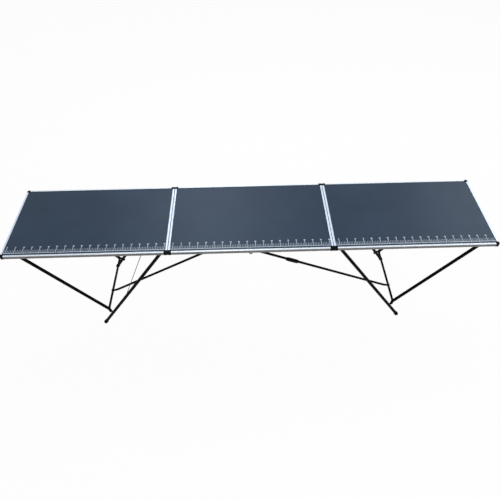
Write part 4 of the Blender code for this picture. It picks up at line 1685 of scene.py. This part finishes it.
@dataclass
class Trestle(SubAssembly):
    """What the leg frame and the strut frame share: bent tubes off one top tube."""

    half: Half
    bend: float = 0.040
    sides: int = 40

    def bent(self, straight_end: float) -> list[Station]:
        """A limb's cross-sections.

        Args:
            straight_end: Where its straight part ends.

        Returns:
            The cross-sections, from the top tube round the bend and down the limb.
        """
        tube = LAYOUT.coated_tube
        bend = Wrap((self.bend, -self.bend), self.bend, 180.0, -90.0, tube, tube)
        return bend.stations() + [Station(straight_end, 0.0, 0.0, tube, tube)]

    def add_top_tube(self, limb: str, pivot: Vector, spread: float) -> None:
        """The tube that turns in the bearings, with the weld beads at its ends.

        Args:
            limb: The kind of limb that comes off it.
            pivot: Its axis at the right-hand end.
            spread: How far the limbs are from the middle of the table.
        """
        name = f"{self.half.label}_{limb}"
        half = spread - self.bend - LAYOUT.clearance
        centre = side_point(pivot, self.half.value)
        tube = LAYOUT.coated_tube
        form = Form().turn(rod(tube, half), across_table(centre), self.sides)
        for edge in Edge:
            seam = centre + Vector((0.0, edge.value * (spread - self.bend), 0.0))
            form.bead(across_table(seam), tube)
        self.fit(form.piece(name + "_crosswise_tube"), BLACK_COAT, name + "_top_tube")


@dataclass
class LegFrame(Trestle):
    """The bent leg frame that carries one end, with its studs and foot caps."""

    stud: float = 0.004
    stud_height: float = 0.0054
    stud_root: float = 0.004
    stay_stud: float = 0.003
    foot_base: float = 0.009
    foot_radius: float = 0.0135
    foot_length: float = 0.034
    foot_round: float = 0.0022
    foot_flat: float = 0.004
    foot_rib: float = 0.0007
    foot_ribs: tuple[float, ...] = (0.008, 0.013, 0.018)
    foot_rib_width: float = 0.0024
    foot_edge: float = 0.0008
    rim_share: float = 0.2
    stud_sides: int = 28
    stud_bead: Point = (0.0012, 0.0007)

    def build(self) -> None:
        """Make and dress every piece of the leg frame."""
        self.add_top_tube("leg", LAYOUT.leg_pivot, LAYOUT.leg_spread)
        for edge in Edge:
            self.add_leg(edge)
            self.add_foot_cap(edge)

    def plane(self, edge: Edge) -> Matrix:
        """The plane of the leg at an edge of the table."""
        return LAYOUT.limb_plane(self.half, edge, LAYOUT.leg_pivot, LAYOUT.leg_line, LAYOUT.leg_spread)

    def add_leg(self, edge: Edge) -> None:
        """One leg with its studs and the weld beads round them.

        Args:
            edge: Which side of the table it is on.
        """
        plane = self.plane(edge)
        length = (LAYOUT.leg_foot - LAYOUT.leg_pivot).length
        form = Form().tube(self.bent(length - self.foot_base), plane, self.sides)
        studs = [(length - LAYOUT.stud_up_leg, self.stud)]
        if edge.value == self.half.value:
            studs.append((LAYOUT.stay_stud_down_leg, self.stay_stud))
        down, outward, _ = axes(plane)
        for along, radius in studs:
            root = plane @ Vector((along, self.stud_root - LAYOUT.tube_radius, 0.0))
            frame_in = frame_of(root, down, down.cross(outward))
            top = self.stud_height + self.stud_root
            rim = radius * self.rim_share
            profile = [(0.0, 0.0), (radius, 0.0), (radius, top - rim), (radius - rim, top), (0.0, top)]
            form.turn(profile, frame_in, self.stud_sides)
            seam = Matrix.Translation((0.0, 0.0, self.stud_root + LAYOUT.tube_coat))
            form.bead(frame_in @ seam, radius, *self.stud_bead)
        name = f"{self.half.label}_{edge.label}_leg"
        self.fit(form.piece(name + "_bent_tube"), BLACK_COAT, name)

    def add_foot_cap(self, edge: Edge) -> None:
        """A ribbed cap over a leg's end, cut flat where it meets the floor.

        Args:
            edge: Which side of the table it is on.
        """
        plane = self.plane(edge)
        foot = (LAYOUT.leg_foot - LAYOUT.leg_pivot).length
        down, outward, _ = axes(plane)
        steep = -LAYOUT.leg_line.z
        tip = (self.foot_flat - self.foot_radius * math.sqrt(1 - steep * steep)) / steep
        matrix = frame_of(plane @ Vector((foot, 0.0, 0.0)), outward, down.cross(outward))
        bore = LAYOUT.coated_tube + LAYOUT.clearance
        seat = LAYOUT.clearance - self.foot_base
        rim = self.foot_base - self.foot_length
        radius, turn = self.foot_radius, self.foot_round
        profile = [(0.0, tip), *arc((radius - turn, tip - turn), turn, 90.0, 0.0, 6)]
        for rib in self.foot_ribs:
            low = tip - rib
            high = low - self.foot_rib_width
            dip = radius - self.foot_rib
            profile += [(radius, low), (dip, low - self.foot_rib)]
            profile += [(dip, high + self.foot_rib), (radius, high)]
        profile += [(radius, rim + self.foot_edge), (radius - self.foot_edge, rim)]
        profile += [(bore, rim), (bore, seat), (0.0, seat)]
        name = f"{self.half.label}_{edge.label}_foot_cap"
        cap = Form().turn(profile, matrix, 48).piece(name + "_moulding")
        centre = side_point(LAYOUT.leg_foot, self.half.value, edge.value * LAYOUT.leg_spread)
        reach = self.foot_length
        low = centre - Vector((reach, reach, reach))
        high = centre + Vector((reach, reach, 0.0))
        self.fit(cut(cap, Form().box(low, high)), BLACK_PLASTIC, name)


@dataclass
class StrutFrame(Trestle):
    """The strut frame that hooks onto the legs' studs, with its crossbar."""

    plate_thickness: float = 0.0034
    plate_width: float = 0.026
    plate_length: float = 0.025
    taper: float = 0.026
    plate_to_leg: float = 0.0012
    plate_fullness: float = 5.0
    slot_radius: float = 0.0043
    slot_flare: float = 0.0012
    tip_turns_deg: tuple[float, ...] = (0.0, 12.0, 24.0, 36.0, 48.0, 60.0, 68.0)
    seam_inset: float = 0.0006
    bar_bead: Point = (0.0040, 0.0014)

    def build(self) -> None:
        """Make and dress every piece of the strut frame."""
        self.add_top_tube("strut", LAYOUT.strut_pivot, LAYOUT.strut_spread)
        for edge in Edge:
            self.add_strut(edge)
        self.add_crossbar()

    def add_strut(self, edge: Edge) -> None:
        """One strut, pressed flat and slotted at its lower end.

        Args:
            edge: Which side of the table it is on.
        """
        pivot, spread = LAYOUT.strut_pivot, LAYOUT.strut_spread
        plane = LAYOUT.limb_plane(self.half, edge, pivot, LAYOUT.strut_line, spread)
        tube = LAYOUT.coated_tube
        length = (LAYOUT.stud - pivot).length + LAYOUT.strut_tail
        thick, wide = self.plate_thickness / 2, self.plate_width / 2
        beside = LAYOUT.strut_inside_leg - tube - self.plate_to_leg - thick
        start = length - self.plate_length - self.taper
        press = Press(tube, thick, wide, self.plate_fullness)
        stations = self.bent(start) + press.stations(start, start + self.taper, beside)[1:]
        for turn in map(math.radians, self.tip_turns_deg):
            along = length - wide + wide * math.sin(turn)
            stations.append(Station(along, beside, 0.0, thick, wide * math.cos(turn), self.plate_fullness))
        name = f"{self.half.label}_{edge.label}_strut"
        strut = Form().tube(stations, plane, self.sides).piece(name + "_bent_tube")
        place = side_point(LAYOUT.stud, self.half.value, edge.value * (spread + beside))
        matrix = frame_of(place, Vector((self.half.value, 0.0, 0.0)), UPWARD)
        mouth = self.slot_radius + self.slot_flare
        outline = arc((0.0, 0.0), self.slot_radius, 90.0, 270.0, 20)
        outline += [(self.plate_width, -mouth), (self.plate_width, mouth)]
        slot = Form().slab([outline], tube * 2, matrix)
        self.fit(cut(strut, slot), BLACK_COAT, name)

    def add_crossbar(self) -> None:
        """The rod between the struts that the brace hooks round."""
        half = LAYOUT.strut_spread - LAYOUT.coated_tube - LAYOUT.clearance
        radius = LAYOUT.crossbar_radius + LAYOUT.rod_coat
        centre = side_point(LAYOUT.crossbar, self.half.value)
        form = Form().turn(rod(radius, half), across_table(centre))
        for edge in Edge:
            seam = centre + Vector((0.0, edge.value * (half - self.seam_inset), 0.0))
            form.bead(across_table(seam), radius, *self.bar_bead)
        name = self.half.label + "_crossbar"
        self.fit(form.piece(name + "_rod"), BLACK_COAT, name)


@dataclass
class Brace(SubAssembly):
    """A brace from a crossbar up to the cross rod. Its eye and hook are rolled strip."""

    half: Half
    eye_y: float
    hook_y: float
    radius: float = 0.007
    strip_thickness: float = 0.0034
    strip_width: float = 0.018
    taper: float = 0.022
    fullness: float = 4.0
    eye_turn_deg: float = 290.0
    hook_turn_deg: float = 118.0
    sides: int = 32

    @cached_property
    def coated_radius(self) -> float:
        """The radius over the coat."""
        return self.radius + LAYOUT.rod_coat

    @cached_property
    def plane_and_length(self) -> tuple[Matrix, float]:
        """The brace's plane, from the crossbar up, and its length to the cross rod.

        Returns:
            The plane's frame and the length.
        """
        side = self.half.value
        offset = LAYOUT.crossbar_radius + LAYOUT.clearance + self.radius
        bar = side_point(LAYOUT.crossbar, side)
        ahead, beside, length = tangent(bar, LAYOUT.cross_rod, side, offset)
        return frame_of(LAYOUT.cross_rod - ahead * length, ahead, beside), length

    def shift(self, along: float) -> float:
        """The brace's offset across its plane, which leans evenly from hook to eye.

        Args:
            along: The place along the brace, from the crossbar.

        Returns:
            The offset.
        """
        plane, length = self.plane_and_length
        share = min(max(along / length, 0.0), 1.0)
        return axes(plane)[2].y * (self.hook_y + (self.eye_y - self.hook_y) * share)

    def build(self) -> None:
        """Make and dress the brace."""
        plane, length = self.plane_and_length
        thick = self.strip_thickness / 2
        strip = (thick, self.strip_width / 2, self.fullness)
        press = Press(self.coated_radius, *strip)
        bar = LAYOUT.crossbar_radius
        hook_radius = bar + LAYOUT.rod_coat + LAYOUT.clearance + thick
        hook_centre = (0.0, self.radius + LAYOUT.clearance + bar)
        hook = Wrap(hook_centre, hook_radius, 270.0, -self.hook_turn_deg, *strip)
        stations = hook.backward(self.shift)
        strip_end = bar * 2
        beside = hook_centre[1] - hook_radius
        stations += press.stations(strip_end + self.taper, strip_end, beside, self.shift)[::-1]
        eye_radius = LAYOUT.cross_rod_radius + LAYOUT.clearance + thick
        taper_end = length - eye_radius - bar
        stations += press.stations(taper_end - self.taper, taper_end, -eye_radius, self.shift)
        eye = Wrap((length, 0.0), eye_radius, 270.0, self.eye_turn_deg, *strip)
        stations += eye.stations(self.shift)
        name = self.half.label + "_brace"
        self.fit(Form().tube(stations, plane, self.sides).piece(name + "_rod"), BLACK_COAT, name)


@dataclass
class Sleeve(SubAssembly):
    """The lock sleeve that slides on a brace, with a ribbed keel for the thumb."""

    brace: Brace
    from_hook: float = 0.859
    length: float = 0.088
    wall: float = 0.0028
    clearance: float = 0.0004
    keel_depth: float = 0.0065
    keel_half: float = 0.0045
    neck_share: float = 1.6
    edge: float = 0.0012
    ribs: int = 9
    rib_pitch: float = 0.0062
    rib_rise: float = 0.0007
    rib_foot_share: float = 0.32
    rib_crown_share: float = 0.16
    soft_share: float = 0.3

    def stations(self) -> list[Point]:
        """The places along the sleeve and how far its skin stands out there.

        Returns:
            Each place with its skin's rise.
        """
        half, soft = self.length / 2, self.edge * self.soft_share
        start = [(-half, -self.edge), (soft - half, -soft), (self.edge - half, 0.0)]
        foot, crown = self.rib_pitch * self.rib_foot_share, self.rib_pitch * self.rib_crown_share
        marks = list(start)
        for rib in range(self.ribs):
            place = self.rib_pitch * (rib - (self.ribs - 1) / 2)
            marks += [(place - foot, 0.0), (place - crown, self.rib_rise)]
            marks += [(place + crown, self.rib_rise), (place + foot, 0.0)]
        return marks + [(-place, rise) for place, rise in reversed(start)]

    def skin(self, grown: float) -> list[Point]:
        """The outer section: round over the rod, with the keel below.

        Args:
            grown: How far the section stands out from its plain size.

        Returns:
            The section's points.
        """
        radius = self.brace.coated_radius + self.clearance + self.wall + grown
        keel = -radius - self.keel_depth
        half = self.keel_half + grown
        neck_deg = math.degrees(math.asin(self.keel_half / radius)) * self.neck_share
        points = arc((0.0, 0.0), radius, -90.0 + neck_deg, 270.0 - neck_deg, 32)
        return points + arc((0.0, keel + half), half, 180.0, 360.0, 14)

    def build(self) -> None:
        """Make and dress the sleeve."""
        plane, length = self.brace.plane_and_length
        places = [Vector((along, 0.0, self.brace.shift(along))) for along in (0.0, self.from_hook, length)]
        foot, centre, head = (plane @ place for place in places)
        upward = axes(plane)[1]
        matrix = frame_of(centre, upward.cross((head - foot).normalized()), upward)
        outside = []
        inside = []
        bore = self.brace.coated_radius + self.clearance
        for along, grown in self.stations():
            skin = self.skin(grown)
            outside.append([matrix @ Vector((*point, along)) for point in skin])
            turns = [math.atan2(point[1], point[0]) for point in skin]
            circle = [(bore * math.cos(turn), bore * math.sin(turn)) for turn in turns]
            inside.append([matrix @ Vector((*point, along)) for point in circle])
        name = self.brace.half.label + "_lock_sleeve"
        rings = outside + inside[::-1]
        self.fit(Form().loft(rings, endless=True).piece(name + "_moulding"), BLACK_PLASTIC, name)


@dataclass
class Stay(SubAssembly):
    """A wire stay from a panel to a leg, with the lug that it turns on."""

    half: Half
    radius: float = 0.0020
    pin: float = 0.0025
    stud: float = 0.003
    eye_turn_deg: float = 250.0
    hook_turn_deg: float = 170.0
    lug_width: float = 0.014
    lug_thickness: float = 0.004
    lead_share: float = 3.0
    sides: int = 20
    rim_share: float = 0.25

    def build(self) -> None:
        """Make and dress the wire and its lug."""
        side = self.half.value
        origin = side_point(LAYOUT.stay_pivot, side, side * (LAYOUT.strut_spread + LAYOUT.leg_spread) / 2)
        self.add_wire(origin)
        self.add_lug(origin)

    def add_wire(self, origin: Vector) -> None:
        """The wire, rolled round the pin and hooked round the leg's stud.

        Args:
            origin: The middle of the pin.
        """
        side = self.half.value
        offset = self.stud + LAYOUT.clearance + self.radius
        down, out, length = tangent(LAYOUT.stay_pivot, LAYOUT.stay_stud, -1, offset)
        plane = frame_of(origin, side_point(down, side), side_point(out, side))
        section = (self.radius, self.radius)
        eye_radius = self.pin + LAYOUT.clearance + self.radius
        eye = Wrap((0.0, 0.0), eye_radius, 90.0, self.eye_turn_deg, *section)
        hook = Wrap((length, -offset), offset, 90.0, -self.hook_turn_deg, *section)
        lead = Station(eye_radius * self.lead_share, 0.0, 0.0, *section)
        wire = Form().tube([*eye.backward(), lead, *hook.stations()], plane, self.sides)
        name = self.half.label + "_stay"
        self.fit(wire.piece(name + "_wire"), DARK_WIRE, name)

    def add_lug(self, centre: Vector) -> None:
        """The tab under the board, with its riveted pin.

        Args:
            centre: The middle of the pin.
        """
        side, thick = self.half.value, self.lug_thickness
        drop = LAYOUT.board_bottom - LAYOUT.clearance - centre.z
        half = self.lug_width / 2
        outline = [(half, drop), (-half, drop), *arc((0.0, 0.0), half, 180.0, 360.0, 24)]
        offset = self.radius + LAYOUT.clearance + thick / 2
        tab = across_table(centre - Vector((0.0, side * offset, 0.0)))
        form = Form().slab([outline], thick, tab)
        pin_length = self.radius * 2 + thick
        head = centre + Vector((0.0, side * self.radius, 0.0))
        rim = self.pin * self.rim_share
        profile = [(0.0, 0.0), (self.pin - rim, 0.0), (self.pin, rim)]
        profile += [(self.pin, pin_length), (0.0, pin_length)]
        form.turn(profile, frame_of(head, Vector((side, 0.0, 0.0)), UPWARD), 24)
        name = self.half.label + "_stay_lug"
        panel = SubAssembly(self.half.label + "_panel")
        panel.fit(form.piece(name + "_tab"), ZINC, name)


@dataclass
class CrossRod(SubAssembly):
    """The plated rod under the middle board that both braces turn on."""

    half_length: float = 0.285
    chamfer: float = 0.0009

    def build(self) -> None:
        """Make and dress the rod."""
        radius, half, rim = LAYOUT.cross_rod_radius, self.half_length, self.chamfer
        profile = [(0.0, half), (radius - rim, half), (radius, half - rim)]
        profile += [(across, -along) for across, along in reversed(profile)]
        bar = Form().turn(profile, across_table(LAYOUT.cross_rod), 40)
        self.fit(bar.piece("cross_rod_bar"), ZINC, "cross_rod")


@dataclass
class Studio:
    """The white floor, the soft light and the camera of the photograph."""

    floor_size: float = 40.0
    floor_colour: Colour = (0.80, 0.80, 0.80)
    floor_glow: float = 0.95
    ambient: float = 0.62
    lens: float = 33.70
    camera_place: Place = (-0.036, -2.162, 2.866)
    pitch_deg: float = 48.17
    yaw_deg: float = 0.94
    roll_deg: float = -0.80
    sensor: float = 36.0
    clip_end: float = 100.0

    def build(self) -> None:
        """Set up the floor, the world, the lamps and the camera."""
        self.add_floor()
        self.add_world()
        self.add_lamp("left_back_box", (-0.50, 2.15, 3.3), (-0.25, -0.15, 0.78), (1.5, 1.6), 46.0)
        self.add_lamp("right_back_box", (3.35, 2.2, 3.3), (1.4, -0.15, 0.78), (1.8, 1.6), 46.0)
        self.add_lamp("fill_box", (1.2, -2.8, 3.6), (0.2, 0.0, 0.5), (2.5, 2.5), 45.0)
        self.add_camera()
        bpy.context.scene.view_settings.view_transform = "Standard"

    def seen(self, recipe: Recipe) -> Value:
        """A mask of the rays that see the white background.

        Args:
            recipe: The tree that the nodes go into.

        Returns:
            The mask.
        """
        path = recipe.node("ShaderNodeLightPath")
        names = ("Is Camera Ray", "Is Glossy Ray", "Is Transmission Ray")
        camera, glossy, through = (Value(recipe, path.outputs[name]) for name in names)
        return camera.or_more(glossy).or_more(through)

    def add_floor(self) -> None:
        """The pale floor, which keeps a trace of the object's shadow."""
        half = self.floor_size / 2
        mesh = bpy.data.meshes.new("studio_floor")
        corners = [(-half, -half, 0.0), (half, -half, 0.0), (half, half, 0.0), (-half, half, 0.0)]
        mesh.from_pydata(corners, [], [(0, 1, 2, 3)])
        floor = new_object("studio_floor", mesh)
        material = bpy.data.materials.new("studio_floor")
        material.use_nodes = True
        recipe = Recipe(material.node_tree)
        paint = recipe.node("ShaderNodeBsdfDiffuse", {}, {"Color": (*self.floor_colour, 1.0)})
        glow = recipe.node("ShaderNodeEmission", {}, {"Color": WHITE, "Strength": 1.0})
        surface = recipe.mixed(self.seen(recipe) * self.floor_glow, paint, glow)
        recipe.node("ShaderNodeOutputMaterial", {}, {"Surface": surface})
        mesh.materials.append(material)

    def add_world(self) -> None:
        """A soft grey surround that shows white where it is seen."""
        world = bpy.data.worlds.new("studio")
        world.use_nodes = True
        bpy.context.scene.world = world
        recipe = Recipe(world.node_tree)
        soft = recipe.node("ShaderNodeBackground", {}, {"Color": WHITE, "Strength": self.ambient})
        white = recipe.node("ShaderNodeBackground", {}, {"Color": WHITE, "Strength": 1.0})
        surface = recipe.mixed(self.seen(recipe), soft, white)
        recipe.node("ShaderNodeOutputWorld", {}, {"Surface": surface})

    def add_lamp(self, name: str, place: Place, target: Place, size: Point, power: float) -> None:
        """Add a soft box.

        Args:
            name: The lamp's name.
            place: Where it hangs.
            target: What it faces.
            size: Its width and height.
            power: Its power in watts.
        """
        data = bpy.data.lights.new(name, "AREA")
        data.shape = "RECTANGLE"
        data.size, data.size_y = size
        data.energy = power
        lamp = new_object(name, data)
        lamp.location = place
        lamp.rotation_euler = (Vector(target) - Vector(place)).to_track_quat("-Z", "Y").to_euler()

    def add_camera(self) -> None:
        """The camera, at the photograph's place and angle."""
        pitch, yaw, roll = (math.radians(turn) for turn in (self.pitch_deg, self.yaw_deg, self.roll_deg))
        ahead = Vector((math.sin(yaw) * math.cos(pitch), math.cos(yaw) * math.cos(pitch), -math.sin(pitch)))
        flat = Vector((math.cos(yaw), -math.sin(yaw), 0.0))
        above = flat.cross(ahead)
        right = flat * math.cos(roll) + above * math.sin(roll)
        up = above * math.cos(roll) - flat * math.sin(roll)
        data = bpy.data.cameras.new("photograph")
        data.lens = self.lens
        data.sensor_width = self.sensor
        data.clip_end = self.clip_end
        camera = new_object("photograph", data)
        camera.matrix_world = frame_of(Vector(self.camera_place), right, up)
        bpy.context.scene.camera = camera


def build_middle() -> None:
    """Build everything that stays with the middle board."""
    Panel("middle", "middle", 0.0, 0, first_mark=-0.471, marks=20).build()
    axis, radius = LAYOUT.cross_rod, LAYOUT.cross_rod_radius
    Bearing("middle", "cross_rod_bearing", axis, radius, spread=0.277, width=0.016).build()
    CrossRod("middle").build()


def build_end(half: Half, first_mark: float, marks: int, eye_y: float, hook_y: float) -> None:
    """Build one folding end.

    Args:
        half: Which end of the table it is.
        first_mark: Where its ruler's first long mark is.
        marks: How many long marks its ruler has.
        eye_y: Where across the table its brace meets the cross rod.
        hook_y: Where across the table its brace meets the crossbar.
    """
    label = half.label
    panel = label + "_panel"
    tube = LAYOUT.coated_tube
    centre_x = half.value * (LAYOUT.panel + LAYOUT.gap)
    Panel(panel, label, centre_x, half.value, first_mark, marks).build()
    for edge in Edge:
        Hinge(panel, half, edge).build()
    for node, pivot in (("_leg_bearing", LAYOUT.leg_pivot), ("_strut_bearing", LAYOUT.strut_pivot)):
        axis = side_point(pivot, half.value)
        Bearing(panel, label + node, axis, tube, spread=0.130, width=0.026).build()
    LegFrame(label + "_leg_frame", half).build()
    StrutFrame(label + "_strut_frame", half).build()
    brace = Brace(label + "_brace_rod", half, eye_y, hook_y)
    brace.build()
    Sleeve(label + "_sleeve", brace).build()
    Stay(label + "_stay_wire", half).build()


def main() -> None:
    """Build every sub-assembly and set the stage; each piece's face count is logged."""
    logging.basicConfig(level=logging.INFO, format="%(message)s")
    build_middle()
    build_end(Half.LEFT, first_mark=-1.473, marks=20, eye_y=-0.115, hook_y=-0.069)
    build_end(Half.RIGHT, first_mark=0.538, marks=19, eye_y=-0.252, hook_y=-0.088)
    Studio().build()


if __name__ == "__main__":
    main()
